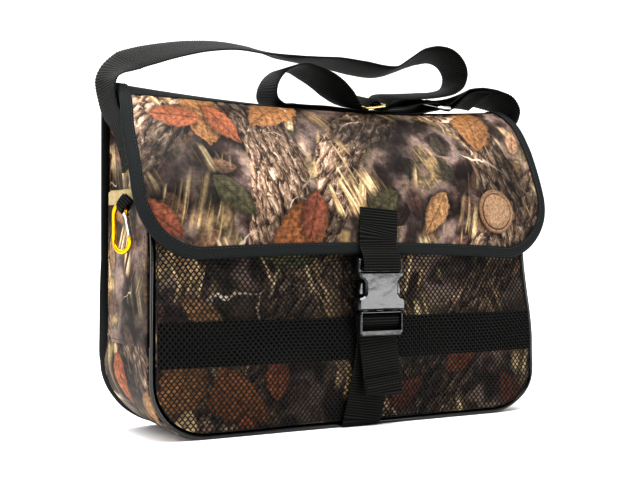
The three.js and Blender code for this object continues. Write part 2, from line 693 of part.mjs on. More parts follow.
function bucklePlug() {
  const { half, top, window, windowTop, foot } = PLUG;
  const frame = block(boxOutline(-half, -BUCKLE.plug, half, top, 2.5), 2, 11, 1);
  const through = block(boxOutline(-window, foot, window, windowTop), 0, BUCKLE.thickness, 0.1);
  const behindFoot = block(boxOutline(-window, -BUCKLE.plug - 2, window, windowTop), 0, 5.7, 0.1);
  const barOutline = boxOutline(-half + 1, MIDDLE_BAR.low, half - 1, MIDDLE_BAR.high);
  const middleBar = block(barOutline, MIDDLE_BAR.back, MIDDLE_BAR.face, 0.5);
  const guide = block(boxOutline(-4, -3, 4, 24, 1.5), PRONG.back, PRONG.face, 0.6);
  const prongs = [-1, 1].map((side) => {
    const arm = [
      [12, -2], [18.4, -2], [18.4, 8], [17, 12.5], [21.6, 14.5],
      [22, 18], [20.5, 23.5], [15, 26.5], [13.5, 24], [13, 8],
    ];
    const outline = arm.map(([x, y]) => new THREE.Vector2(side * x, y));
    return block(side > 0 ? outline : outline.reverse(), PRONG.back, PRONG.face, 0.6);
  });
  const open = frame.subtract(through).subtract(behindFoot);
  return toGeometry([middleBar, guide, ...prongs].reduce((whole, piece) => whole.add(piece), open));
}
addPiece("buckle_plug", bucklePlug(), MATERIAL.plastic, buckle);

// Webbing of the buckle. Its routes turn the buckle's own heights and depths into the bag's frame.
const onBuckle = (x, height, depth) => ({ x, y: BUCKLE.back - depth, z: BUCKLE.jointZ + height });
const acrossX = vec(1, 0, 0);

// The upper strap lies on the flap, passes over its binding and folds round the socket's bar.
function flapStrap() {
  const rise = FLAP.cloth / 2 + 0.9 + WEBBING.thickness / 2;
  const onFlap = [38, 30, 22].map((d) => flapPoint(mix(BUCKLE.x, BUCKLE.x + 3, d / 38), d, rise));
  const overHem = FLAP.cloth / 2 + FLAP.bindThickness + 2 * GAP + WEBBING.thickness;
  const hem = [13, 5].map((d) => flapPoint(BUCKLE.x, d, overHem));
  const bar = [
    [47.6, 10.2], [45, 10.6], [42.4, 10.5], [40.6, 9], [40.2, 6],
    [40.6, 3], [42.4, 1.5], [45, 1.4], [46.6, 1.6],
  ];
  const fold = bar.map(([height, depth]) => onBuckle(BUCKLE.x, height, depth));
  return strap([...onFlap, ...hem, ...fold], { axis: acrossX });
}
addPiece("flap_strap", flapStrap(), MATERIAL.webbing);

// The lower strap comes up from the base seam, folds round the plug's middle bar and hangs as a tail.
function anchorStrap() {
  const overNet = netOffset + NET.thickness / 2 + barClear + 0.6;
  const seam = [
    { x: 0, y: BODY.front - PIPING.radius - barClear - 0.6, z: 1.2 },
    { x: 0, y: BODY.front - PIPING.radius - barClear - 1.8, z: 3.4 },
  ];
  const rising = [6, 13, 25, 40, 56].map((z) => {
    const lean = mix(0, 8, (z - 6) / 50);
    return { x: lean, y: frontPoint(0, z).y - overNet, z };
  });
  const bar = [
    [-24, 1], [-12, 1.2], [-8, 1.2], [-5.4, 1.9], [-4.2, 3.4], [-4, 5], [-4.2, 6.6], [-5.6, 8.1], [-8, 8.7],
    [-11, 8.2], [-13.5, 6.5], [-15.6, 4.7], [-19, 3.9], [-26, 3.9],
  ];
  const fold = bar.map(([height, depth]) => onBuckle(BUCKLE.x, height, depth));
  const hanging = [[-50, 5.2], [-66, 4.8], [-76, 4.4]];
  const tail = hanging.map(([height, depth]) => onBuckle(BUCKLE.x - 1, height, depth));
  return strap([...seam, ...rising, ...fold, ...tail], { axis: acrossX });
}
addPiece("anchor_strap", anchorStrap(), MATERIAL.webbing);

// Side pocket on the left wall: a patch of cloth with a gathered hem
function sidePocket() {
  const rows = 12;
  const columns = 9;
  const gathers = 3;
  const face = (shift) =>
    Array.from({ length: rows + 1 }, (_, r) =>
      Array.from({ length: columns + 1 }, (_, c) => {
        const u = c / columns;
        const v = r / rows;
        const round = Math.sin(Math.PI * u) * Math.sin(Math.PI * Math.min(0.12 + v, 1)) ** 0.7;
        const ripple = 0.9 * v ** 6 * (1 - Math.cos(2 * Math.PI * gathers * u));
        const out = BODY.half + GAP + POCKET.cloth / 2 + POCKET.fullness * round + ripple + shift;
        return vec(-out, mix(POCKET.front, POCKET.back, u), mix(POCKET.bottom, POCKET.top, v));
      }),
    );
  return wallBetween(face(POCKET.cloth / 2), face(-POCKET.cloth / 2));
}
addPiece("side_pocket", sidePocket(), MATERIAL.camo);

// Carabiner, drawn upright in its own plane: u from the spine towards the gate, v up
const turn = THREE.MathUtils.degToRad(CARABINER.turn);
const uAxis = vec(Math.sin(turn), -Math.cos(turn), 0);
const carabiner = new THREE.Group();
carabiner.position.set(CARABINER.x, CARABINER.y, CARABINER.z);
carabiner.quaternion.setFromRotationMatrix(
  new THREE.Matrix4().makeBasis(uAxis, vec(0, 0, 1), uAxis.clone().cross(vec(0, 0, 1))),
);
bag.add(carabiner);

const BOW = { topU: -2, topV: 12, topRadius: 7.2, spineU: -9.2, footU: 0.6, footV: -10, footRadius: 9.8 };
const HINGE = { u: 5, v: 11, pin: 0.8, tongue: 1.6, eye: 1.9 };
const NOSE = { u: 10.2, v: -8 };

// A round bar along a curve, with flat ends.
function roundBar(curve, diameter, steps, sides = 8) {
  const section = new THREE.Shape(
    Array.from({ length: sides }, (_, k) => {
      const angle = (k / sides) * 2 * Math.PI;
      return new THREE.Vector2(Math.cos(angle), Math.sin(angle)).multiplyScalar(diameter / 2);
    }),
  );
  return toSolid(new THREE.ExtrudeGeometry(section, { steps, extrudePath: curve, bevelEnabled: false }));
}

// A short round pin across the carabiner's plane.
function crossPin(u, v, radius, length) {
  const geometry = new THREE.CylinderGeometry(radius, radius, length, 12);
  return toSolid(geometry.rotateX(Math.PI / 2).translate(u, v, 0));
}

function carabinerBody() {
  const arc = (u, v, radius, from, to, count) =>
    Array.from({ length: count + 1 }, (_, i) => {
      const angle = THREE.MathUtils.degToRad(mix(from, to, i / count));
      return vec(u + radius * Math.cos(angle), v + radius * Math.sin(angle), 0);
    });
  const path = [
    ...arc(BOW.topU, BOW.topV, BOW.topRadius, 14, 172, 6),
    vec(BOW.spineU, 4, 0),
    vec(BOW.spineU, -4, 0),
    ...arc(BOW.footU, BOW.footV, BOW.footRadius, 184, 352, 7),
    vec(NOSE.u, NOSE.v, 0),
  ];
  const bow = roundBar(new THREE.CatmullRomCurve3(path, false, "centripetal"), CARABINER.wire, 44);
  const tongueLength = 4.5;
  const tongue = toSolid(
    new THREE.BoxGeometry(2.8, tongueLength, HINGE.tongue).translate(HINGE.u, HINGE.v + tongueLength / 2, 0),
  );
  const eye = crossPin(HINGE.u, HINGE.v, HINGE.eye, HINGE.tongue);
  return toGeometry(bow.add(tongue).add(eye).subtract(crossPin(HINGE.u, HINGE.v, HINGE.pin + 0.09, 10)));
}
addPiece("carabiner_body", carabinerBody(), MATERIAL.yellow, carabiner);

function carabinerGate() {
  const tip = vec(NOSE.u - 0.35, NOSE.v + 1.7, 0);
  const root = vec(HINGE.u, HINGE.v, 0);
  const along = tip.clone().sub(root).normalize();
  const rod = roundBar(new THREE.LineCurve3(root.clone().addScaledVector(along, 3.2), tip), 3.6, 1);
  const cheeks = crossPin(HINGE.u, HINGE.v, 1.8, CARABINER.wire);
  const neck = roundBar(new THREE.LineCurve3(root, root.clone().addScaledVector(along, 3.6)), 3.6, 1);
  const slot = crossPin(HINGE.u, HINGE.v, HINGE.eye + 0.5, HINGE.tongue + 0.6);
  const mouth = new THREE.BoxGeometry(5, 6, HINGE.tongue + 0.6).translate(HINGE.u + 0.4, HINGE.v + 3, 0);
  const pin = crossPin(HINGE.u, HINGE.v, HINGE.pin, CARABINER.wire);
  return toGeometry(rod.add(neck).add(cheeks).subtract(slot).subtract(toSolid(mouth)).add(pin));
}
addPiece("carabiner_gate", carabinerGate(), MATERIAL.aluminium, carabiner);

// Carabiner loop: a folded tape sewn to the side pocket below its hem, round the carabiner's bow. Its route
// is drawn across the bow: r out from the bow's centre, n out of the carabiner's plane.
const LOOP = { width: 8, thickness: 1.4, angle: 56 };

function carabinerLoop() {
  const angle = THREE.MathUtils.degToRad(LOOP.angle);
  const flat = uAxis.clone().cross(vec(0, 0, 1));
  const radial = uAxis.clone().multiplyScalar(Math.cos(angle)).addScaledVector(vec(0, 0, 1), Math.sin(angle));
  const axis = flat.clone().cross(radial);
  const centre = carabiner.position.clone().addScaledVector(uAxis, BOW.topU).add(vec(0, 0, BOW.topV));
  const fold = [
    [20.5, -3], [15, -2.4], [9, -3.4], [4.5, -3.2], [1.6, 0], [4.5, 3.2], [9, 3.4], [15, 1], [20.5, -0.7],
  ];
  const route = fold.map(([r, n]) => centre.clone().addScaledVector(radial, r).addScaledVector(flat, n));
  return strap(route, { ...LOOP, axis });
}
addPiece("carabiner_loop", carabinerLoop(), MATERIAL.webbing);

export default bag;
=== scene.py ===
# A camouflage shoulder bag for gun-dog training dummies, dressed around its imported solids.
# Sizes are millimetres, as its maker would measure them, and MM turns them into Blender's metres.
import math
from functools import partial

import bpy
import numpy as np
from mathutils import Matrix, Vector


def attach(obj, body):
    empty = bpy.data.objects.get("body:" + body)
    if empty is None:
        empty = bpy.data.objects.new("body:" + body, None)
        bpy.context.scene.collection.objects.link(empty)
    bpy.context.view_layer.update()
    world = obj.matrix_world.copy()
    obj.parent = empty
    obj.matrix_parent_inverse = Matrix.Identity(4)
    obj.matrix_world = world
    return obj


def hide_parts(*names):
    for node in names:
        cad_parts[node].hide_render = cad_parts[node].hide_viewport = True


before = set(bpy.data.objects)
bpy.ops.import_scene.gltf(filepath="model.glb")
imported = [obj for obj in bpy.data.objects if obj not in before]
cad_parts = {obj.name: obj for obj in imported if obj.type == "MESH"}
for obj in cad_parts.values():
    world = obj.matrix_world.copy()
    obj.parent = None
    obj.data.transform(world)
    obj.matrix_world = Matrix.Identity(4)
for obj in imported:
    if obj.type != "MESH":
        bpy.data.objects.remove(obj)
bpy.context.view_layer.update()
bpy.ops.object.select_all(action="DESELECT")
MM = 0.001

# Front panel: printed polyester canvas, cut with round lower corners and sewn to the gusset all round. It
# stands upright over the belly, leans back to the mouth and is a little slack between its seams.
FRONT_PROFILE = [
    {"z": 0, "rim": -46, "belly": 1},
    {"z": 40, "rim": -46, "belly": 6},
    {"z": 110, "rim": -46, "belly": 7},
    {"z": 172, "rim": -45, "belly": 5},
    {"z": 215, "rim": -28, "belly": 4},
    {"z": 250, "rim": -10, "belly": 3},
    {"z": 268, "rim": -1, "belly": 2},
]
BODY_HALF = 200.0
FRONT_CUT = {"half": 194.2, "low": 5.8, "corner": 44.2}
MOUTH = 268.0
CANVAS = 2.0
SLUMP = {"foot": 3.8, "corner": 5.0, "waist": 12.8, "back": 4.0}
FRONT_SLACK = {"depth": 1.5, "wave": 120, "held_at": 5, "held_width": 45}
FRONT_PRINT = (2354, 890)


def smooth_between(values, i, share):
    """A smooth curve through a row of values, read at a share of the way from value i to the next one."""
    last = len(values) - 1
    before, start = values[np.maximum(i - 1, 0)], values[i]
    end, after = values[i + 1], values[np.minimum(i + 2, last)]
    leave, arrive = (end - before) / 2, (after - start) / 2
    cubic = 2 * start - 2 * end + leave + arrive
    square = 3 * end - 3 * start - 2 * leave - arrive
    return ((cubic * share + square) * share + leave) * share + start


def profile_at(rows, column, z):
    """A column of a profile table at heights z, on a smooth curve through its rows."""
    knots = np.array([row["z"] for row in rows], float)
    values = np.array([row[column] for row in rows], float)
    i = np.clip(np.searchsorted(knots, z, side="right") - 1, 0, len(knots) - 2)
    share = np.clip((z - knots[i]) / (knots[i + 1] - knots[i]), 0, 1)
    return smooth_between(values, i, share)


def slackness(across, along, wave, seed):
    """How slack a cloth is, from about -1 to 1, in soft waves of about the given length."""
    dice = np.random.default_rng(seed)
    total = np.zeros(np.shape(across))
    for _ in range(6):
        heading = dice.uniform(0, 2 * math.pi)
        length = wave * dice.uniform(0.7, 1.6)
        start = dice.uniform(0, 2 * math.pi)
        run = across * math.cos(heading) + along * math.sin(heading)
        total += np.sin(run * 2 * math.pi / length + start)
    return total / 4


def columns_of(*parts):
    """Arrays as the columns of one array."""
    return np.stack(parts, axis=-1)


def smooth_rise(value, start, length):
    """0 up to a start, 1 from a length past it, and a smooth rise between."""
    share = np.clip((value - start) / length, 0, 1)
    return share**2 * (3 - 2 * share)


def slumped(points):
    """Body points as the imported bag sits: the flap draws the right front edge in, and the lower corners fill
    out."""
    x, y, z = points[..., 0], points[..., 1], points[..., 2]
    foot = SLUMP["foot"] + SLUMP["corner"] * np.exp(-(((z - 20) / 20) ** 2))
    waist = SLUMP["waist"] * smooth_rise(z, 65, 100)
    right_front = np.clip((x - 60) / 140, 0, 1) ** 2 * np.clip((12 - y) / 58, 0, 1)
    full = (foot - waist) * (1 - smooth_rise(z, 165, 70)) * right_front
    back_corner = np.clip((np.abs(x) - 120) / 80, 0, 1) * np.clip((y + 10) / 55, 0, 1)
    full = full + SLUMP["back"] * np.sign(x) * np.exp(-(((z - 48) / 36) ** 2)) * back_corner
    return columns_of(x + full, y, z)


def front_at(x, z):
    """The middle of the front panel's cloth at x and z. The anchor strap holds it still in the middle."""
    fullness = 1 - (x / BODY_HALF) ** 2
    free = 1 - np.exp(-(((x - FRONT_SLACK["held_at"]) / FRONT_SLACK["held_width"]) ** 2))
    slack = FRONT_SLACK["depth"] * fullness * free * slackness(x, z, FRONT_SLACK["wave"], seed=3)
    y = profile_at(FRONT_PROFILE, "rim", z) - profile_at(FRONT_PROFILE, "belly", z) * fullness + slack
    return slumped(columns_of(x, y, z))


def round_cornered(u, v, half, low, corner, top):
    """x and z over a panel with round lower corners, for u across it and v up it from 0 to 1."""
    bend = 0.25
    turn = np.clip(v / bend, 0, 1) * math.pi / 2
    rise = (top - low - corner) * np.clip((v - bend) / (1 - bend), 0, 1)
    width = half - corner + corner * np.sin(turn)
    return (2 * u - 1) * width, low + corner * (1 - np.cos(turn)) + rise


def new_piece(name, data):
    """A new object in the scene, made the active one."""
    piece = bpy.data.objects.new(name, data)
    bpy.context.scene.collection.objects.link(piece)
    bpy.context.view_layer.objects.active = piece
    return piece


def corners_of(mesh):
    """A mesh's corners as rows of x, y and z."""
    places = np.empty(len(mesh.vertices) * 3)
    mesh.vertices.foreach_get("co", places)
    return places.reshape(-1, 3)


def work_on(piece, kind, **settings):
    """Applies a modifier of a kind, with its settings, to the active piece."""
    modifier = piece.modifiers.new(kind.lower(), kind)
    for name, value in settings.items():
        setattr(modifier, name, value)
    bpy.ops.object.modifier_apply(modifier=modifier.name)


def lay_flat(mesh, flat):
    """Keeps each corner's flat place on its cloth, given in mm, in a layer of the mesh named cloth."""
    if not mesh.uv_layers:
        mesh.uv_layers.new()
    corner = np.empty(len(mesh.loops), int)
    mesh.loops.foreach_get("vertex_index", corner)
    mesh.uv_layers.active.name = "cloth"
    mesh.uv_layers.active.data.foreach_set("uv", (flat[corner] * MM).ravel())


def cloth_sheet(name, surface, columns, rows, thickness, lift=0.0):
    """A sheet of cloth over surface(u, v), which gives points and the cloth's own flat coordinates in mm.
    Lift raises the middle of its thickness off the surface."""
    bpy.ops.mesh.primitive_grid_add(x_subdivisions=columns, y_subdivisions=rows, size=1)
    piece = bpy.context.object
    piece.name = name
    mesh = piece.data
    u, v = corners_of(mesh)[:, :2].T + 0.5
    step = 1e-3
    points, flat = surface(u, v)
    across = surface(np.minimum(u + step, 1), v)[0] - surface(np.maximum(u - step, 0), v)[0]
    along = surface(u, np.minimum(v + step, 1))[0] - surface(u, np.maximum(v - step, 0))[0]
    normal = np.cross(across, along)
    normal /= np.linalg.norm(normal, axis=1, keepdims=True)
    points = points + (lift + thickness / 2) * normal
    mesh.vertices.foreach_set("co", (points * MM).ravel())
    lay_flat(mesh, flat)
    work_on(piece, "SOLIDIFY", thickness=thickness * MM, offset=-1)
    bpy.ops.object.shade_smooth()
    piece.select_set(False)
    return piece


def colour(code):
    """An sRGB hex colour as linear RGBA."""
    parts = [int(code[k : k + 2], 16) / 255 for k in (1, 3, 5)]
    linear = [p / 12.92 if p <= 0.04045 else ((p + 0.055) / 1.055) ** 2.4 for p in parts]
    return (*linear, 1.0)


def fill_inputs(node, inputs):
    """Fills a node's inputs with values, from sockets, or from the first outputs of other nodes."""
    for key, value in inputs.items():
        if isinstance(value, bpy.types.Node):
            value = value.outputs[0]
        if isinstance(value, bpy.types.NodeSocket):
            node.id_data.links.new(value, node.inputs[key])
        else:
            node.inputs[key].default_value = value


def add_node(tree, kind, inputs=None, **settings):
    """Adds a shader node of a kind, with its settings and its inputs."""
    made = tree.nodes.new("ShaderNode" + kind)
    for name, value in settings.items():
        setattr(made, name, value)
    fill_inputs(made, inputs or {})
    return made


def new_material(name):
    """A new material, with the function that adds nodes to it and its shader."""
    material = bpy.data.materials.new(name)
    material.use_nodes = True
    tree = material.node_tree
    return material, partial(add_node, tree), tree.nodes["Principled BSDF"]


def fill_ramp(ramp, stops, interpolation="LINEAR"):
    """Sets a colour ramp's stops from pairs of a place and a hex colour."""
    ramp.color_ramp.interpolation = interpolation
    for _ in stops[2:]:
        ramp.color_ramp.elements.new(0.5)
    for element, (place, code) in zip(ramp.color_ramp.elements, stops):
        element.position = place
        element.color = colour(code)
    return ramp.outputs["Color"]


# The canvas is printed with a plain woodland scene of its own: bark, reeds, egg-shaped leaves and twigs on a
# dim ground. Each motif is worked out in millimetres of flat cloth, so it keeps its size round every bend.
def print_bark(add, cloth, ground, turn, pitch, half, seed):
    """Prints rough trunks of a half width, about a pitch apart and turned by an angle, over the ground."""
    turned = add("VectorRotate", {"Vector": cloth, "Angle": math.radians(turn)}, rotation_type="Z_AXIS")
    wander = add("TexNoise", {"Vector": turned, "Scale": 1 / 150, "Detail": 1.0}, noise_dimensions="2D")
    parts = add("SeparateXYZ", {0: turned})
    swayed = add("Math", {0: wander, 1: 70.0, 2: parts.outputs["X"]}, operation="MULTIPLY_ADD")
    strip = add("Math", {0: swayed, 1: 1 / pitch, 2: seed}, operation="MULTIPLY_ADD")
    number = add("Math", {0: strip}, operation="FLOOR")
    dice = add("TexWhiteNoise", {"W": number}, noise_dimensions="1D")
    place = add("Math", {0: strip}, operation="FRACT")
    off = add("Math", {0: place, 1: 0.5}, operation="SUBTRACT")
    away = add("Math", {0: off}, operation="ABSOLUTE")
    grain = add("VectorMath", {0: turned, 1: (1 / 5, 1 / 13, 0)}, operation="MULTIPLY")
    flakes = add(
        "TexNoise",
        {"Vector": grain, "Scale": 1.0, "Detail": 6.0, "Roughness": 0.72, "Distortion": 0.5},
        noise_dimensions="2D",
    )
    ragged = add("Math", {0: flakes, 1: 9 / pitch, 2: away}, operation="MULTIPLY_ADD")
    width = add(
        "MapRange",
        {"Value": dice.outputs["Value"], "To Min": 0.45 * half / pitch, "To Max": 1.25 * half / pitch},
    )
    inside = add("Math", {0: width, 1: ragged}, operation="SUBTRACT")
    mask = add("MapRange", {"Value": inside, "From Min": -4 / pitch, "From Max": -2 / pitch})
    shade = add(
        "MapRange",
        {"Value": off, "From Min": -half / pitch, "From Max": half / pitch, "To Min": 1.15, "To Max": 0.4},
    )
    warped = add("VectorMath", {0: flakes.outputs[1], 1: (2.4, 2.4, 0), 2: grain}, operation="MULTIPLY_ADD")
    plates = add(
        "TexVoronoi", {"Vector": warped, "Scale": 0.5, "Randomness": 1.0},
        voronoi_dimensions="2D", feature="DISTANCE_TO_EDGE",
    )
    cracks = add(
        "MapRange", {"Value": plates, "From Min": 0.0, "From Max": 0.16, "To Min": -0.16, "To Max": 0.02}
    )
    relief = add("Math", {0: flakes, 1: cracks})
    bark = fill_ramp(
        add("ValToRGB", {0: relief}),
        [(0.26, "#140e0b"), (0.4, "#45352b"), (0.5, "#76604f"), (0.6, "#a08a76"), (0.72, "#cbbcaa")],
    )
    rounded = add("Mix", {0: 1.0, 6: bark, 7: shade}, data_type="RGBA", blend_type="MULTIPLY")
    return add("Mix", {0: mask, 6: ground, 7: rounded.outputs[2]}, data_type="RGBA").outputs[2]


def print_reeds(add, cloth, ground, turn, pitch, seed):
    """Prints patches of straw-coloured reed blades over the ground."""
    turned = add("VectorRotate", {"Vector": cloth, "Angle": math.radians(turn)}, rotation_type="Z_AXIS")
    moved = add("VectorMath", {0: turned, 1: (seed * 97, seed * 53, 0)})
    stretched = add("VectorMath", {0: moved, 1: (1 / pitch, 1 / (13 * pitch), 0)}, operation="MULTIPLY")
    blades = add(
        "TexNoise", {"Vector": stretched, "Scale": 1.0, "Detail": 2.0, "Distortion": 0.5},
        noise_dimensions="2D",
    )
    patches = add("TexNoise", {"Vector": moved, "Scale": 1 / 55, "Detail": 1.0}, noise_dimensions="2D")
    patch = add("MapRange", {"Value": patches, "From Min": 0.56, "From Max": 0.66})
    blade = add("MapRange", {"Value": blades, "From Min": 0.47, "From Max": 0.56})
    mask = add("Math", {0: patch, 1: blade}, operation="MULTIPLY")
    straw = fill_ramp(
        add("ValToRGB", {0: blades}),
        [(0.47, "#574836"), (0.57, "#8a7455"), (0.66, "#b7a17d"), (0.75, "#d6c6a4")],
    )
    return add("Mix", {0: mask, 6: ground, 7: straw}, data_type="RGBA").outputs[2]


def print_leaves(add, cloth, ground, tones, pitch, length, width, share, seed):
    """Prints egg-shaped leaves with a midrib over the ground: a share of one in each square of a pitch."""
    placed = add(
        "VectorMath", {0: cloth, 1: (1 / pitch, 1 / pitch, 0), 2: (seed, seed * 1.7, 0)},
        operation="MULTIPLY_ADD",
    )
    cells = add("TexVoronoi", {"Vector": placed, "Scale": 1.0, "Randomness": 0.75}, voronoi_dimensions="2D")
    local = add("VectorMath", {0: placed, 1: cells.outputs["Position"]}, operation="SUBTRACT")
    dice = add("SeparateColor", {0: cells.outputs["Color"]})
    angle = add("Math", {0: dice.outputs["Red"], 1: 2 * math.pi}, operation="MULTIPLY")
    turned = add("VectorRotate", {"Vector": local, "Angle": angle}, rotation_type="Z_AXIS")
    parts = add("SeparateXYZ", {0: turned})
    along = add(
        "Math", {0: parts.outputs["X"], 1: pitch / length, 2: 0.5}, operation="MULTIPLY_ADD", use_clamp=True
    )
    ragged = add("TexNoise", {"Vector": cloth, "Scale": 1 / 5, "Detail": 3.0}, noise_dimensions="2D")
    aside = add("Math", {0: parts.outputs["Y"]}, operation="ABSOLUTE")
    uneven = add("Math", {0: ragged, 1: 0.3 * width / pitch, 2: aside}, operation="MULTIPLY_ADD")
    rising = add("Math", {0: along, 1: 0.7}, operation="POWER")
    falling = add("Math", {0: 1.0, 1: along}, operation="SUBTRACT")
    egg = add("Math", {0: rising, 1: falling}, operation="MULTIPLY")
    inside = add("Math", {0: egg, 1: 2.0 * width / pitch}, operation="MULTIPLY")
    rim = add("Math", {0: inside, 1: uneven}, operation="SUBTRACT")
    drawn = add("Math", {0: dice.outputs["Blue"], 1: share}, operation="LESS_THAN")
    edge = add("MapRange", {"Value": rim, "From Min": 0.0, "From Max": 2.2 / pitch})
    mask = add("Math", {0: edge, 1: drawn}, operation="MULTIPLY")
    halo = add(
        "MapRange", {"Value": rim, "From Min": -7 / pitch, "From Max": 0.0, "To Min": 1.0, "To Max": 0.45}
    )
    dimmed = add("Mix", {0: drawn, 6: ground, 7: halo}, data_type="RGBA", blend_type="MULTIPLY")
    blade = fill_ramp(add("ValToRGB", {0: dice.outputs["Green"]}), tones, "CONSTANT")
    fold = add(
        "MapRange",
        {"Value": parts.outputs["Y"], "From Min": -0.6 * width / pitch, "From Max": 0.6 * width / pitch,
         "To Min": 0.62, "To Max": 1.3},
    )
    vein = add(
        "MapRange",
        {"Value": aside, "From Min": 0.3 / pitch, "From Max": 1.1 / pitch, "To Min": 0.6, "To Max": 1.0},
    )
    slanted = add("Math", {0: aside, 1: -1.1 * pitch / length, 2: along}, operation="MULTIPLY_ADD")
    ladder = add("Math", {0: slanted, 1: 8.0}, operation="MULTIPLY")
    rung = add("Math", {0: ladder, 1: 0.5}, operation="PINGPONG")
    side_vein = add(
        "MapRange", {"Value": rung, "From Min": 0.03, "From Max": 0.13, "To Min": 0.72, "To Max": 1.0}
    )
    blotch = add(
        "MapRange", {"Value": ragged, "From Min": 0.3, "From Max": 0.7, "To Min": 0.55, "To Max": 1.3}
    )
    light = add("Math", {0: fold, 1: vein}, operation="MULTIPLY")
    light = add("Math", {0: light, 1: side_vein}, operation="MULTIPLY")
    light = add("Math", {0: light, 1: blotch}, operation="MULTIPLY")
    shaded = add("Mix", {0: 1.0, 6: blade, 7: light}, data_type="RGBA", blend_type="MULTIPLY")
    return add("Mix", {0: mask, 6: dimmed.outputs[2], 7: shaded.outputs[2]}, data_type="RGBA").outputs[2]


def print_twigs(add, cloth, ground, pitch):
    """Prints thin pale twigs that fork about a pitch apart over the ground."""
    bent = add("TexNoise", {"Vector": cloth, "Scale": 1 / 38, "Detail": 3.0}, noise_dimensions="2D")
    swayed = add("VectorMath", {0: bent.outputs[1], 1: (34, 34, 0), 2: cloth}, operation="MULTIPLY_ADD")
    forks = add(
        "TexVoronoi", {"Vector": swayed, "Scale": 1 / pitch, "Randomness": 1.0},
        voronoi_dimensions="2D", feature="DISTANCE_TO_EDGE",
    )
    kept = add("TexNoise", {"Vector": swayed, "Scale": 1 / 70, "Detail": 0.0}, noise_dimensions="2D")
    girth = add(
        "MapRange", {"Value": kept, "From Min": 0.5, "From Max": 0.68, "To Min": 0.0, "To Max": 1.5 / pitch}
    )
    inside = add("Math", {0: girth, 1: forks}, operation="SUBTRACT")
    mask = add("MapRange", {"Value": inside, "From Min": 0.0, "From Max": 0.7 / pitch})
    peel = fill_ramp(add("ValToRGB", {0: bent}), [(0.35, "#54463b"), (0.5, "#8f7f70"), (0.62, "#b9ab9a")])
    return add("Mix", {0: mask, 6: ground, 7: peel}, data_type="RGBA").outputs[2]


def printed_canvas():
    """Coated polyester canvas, calendered and printed: dim, slightly shiny and with a fine plain weave."""
    material, add, shader = new_material("printed_polyester_canvas")
    flat = add("UVMap", uv_map="cloth")
    cloth = add("VectorMath", {0: flat, 1: (1000, 1000, 0)}, operation="MULTIPLY").outputs[0]
    drift = add(
        "TexNoise", {"Vector": cloth, "Scale": 1 / 46, "Detail": 4.0, "Roughness": 0.55},
        noise_dimensions="2D",
    )
    scene = fill_ramp(
        add("ValToRGB", {0: drift}),
        [(0.34, "#1e1613"), (0.43, "#44352f"), (0.50, "#70605a"), (0.56, "#7d6a5c"), (0.62, "#4c4335"),
         (0.72, "#a38a66")],
    )
    mould = [(0.0, "#33261f"), (0.2, "#564039"), (0.4, "#775c4a"), (0.6, "#3a342a"), (0.8, "#8c7059")]
    scene = print_leaves(add, cloth, scene, mould, pitch=31, length=36, width=17, share=0.8, seed=12.6)
    scene = print_reeds(add, cloth, scene, turn=14, pitch=7.0, seed=1.0)
    scene = print_bark(add, cloth, scene, turn=38, pitch=170.0, half=24.0, seed=0.35)
    scene = print_reeds(add, cloth, scene, turn=-24, pitch=5.5, seed=2.0)
    scene = print_bark(add, cloth, scene, turn=-12, pitch=240.0, half=30.0, seed=0.8)
    gloom = add("TexNoise", {"Vector": cloth, "Scale": 1 / 85, "Detail": 2.0}, noise_dimensions="2D")
    depth = add(
        "MapRange", {"Value": gloom, "From Min": 0.38, "From Max": 0.62, "To Min": 0.32, "To Max": 1.3}
    )
    scene = add("Mix", {0: 1.0, 6: scene, 7: depth}, data_type="RGBA", blend_type="MULTIPLY").outputs[2]
    rust = [(0.0, "#784f31"), (0.3, "#85603f"), (0.5, "#545239"), (0.64, "#6b6248"), (0.8, "#8f7653")]
    scene = print_leaves(add, cloth, scene, rust, pitch=98, length=92, width=44, share=0.5, seed=3.3)
    scene = print_twigs(add, cloth, scene, pitch=95.0)
    litter = [(0.0, "#6a4030"), (0.28, "#8c6c4d"), (0.46, "#45412f"), (0.64, "#865238"), (0.86, "#b8a17d")]
    scene = print_leaves(add, cloth, scene, litter, pitch=64, length=56, width=25, share=0.4, seed=8.1)
    speckle = add(
        "TexNoise", {"Vector": cloth, "Scale": 1 / 3.2, "Detail": 3.0, "Roughness": 0.6},
        noise_dimensions="2D",
    )
    grain = add(
        "MapRange", {"Value": speckle, "From Min": 0.3, "From Max": 0.7, "To Min": 0.72, "To Max": 1.25}
    )
    printed = add("Mix", {0: 1.0, 6: scene, 7: grain}, data_type="RGBA", blend_type="MULTIPLY")
    # The yarns are drawn 1 mm apart, coarser than real, so that the weave shows in a picture of the bag.
    weave = add(
        "TexVoronoi", {"Vector": cloth, "Scale": 1.0, "Randomness": 0.15},
        voronoi_dimensions="2D", distance="CHEBYCHEV",
    )
    bump = add("Bump", {"Height": weave, "Strength": 0.25, "Distance": 0.15 * MM})
    surface = {"Base Color": printed.outputs[2], "Normal": bump, "Roughness": 0.55, "IOR": 1.5}
    fill_inputs(shader, {**surface, "Specular IOR Level": 0.2})
    return material


def settle(piece, material, slot, *nodes, body="bag"):
    """Gives a finished piece its material and its place in the frame."""
    piece.data.materials.clear()
    piece.data.materials.append(material)
    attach(piece, body)
    if nodes:
        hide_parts(*nodes)
    return piece


def front_panel_cloth(u, v):
    """The front panel over u across it and v up it, with its place on the printed roll."""
    x, z = round_cornered(u, v, **FRONT_CUT, top=MOUTH)
    return front_at(x, z), columns_of(x, z) + FRONT_PRINT


canvas = printed_canvas()
front_panel = cloth_sheet("front_panel_cloth", front_panel_cloth, 96, 72, CANVAS)
settle(front_panel, canvas, "camo_cloth", "front_panel")

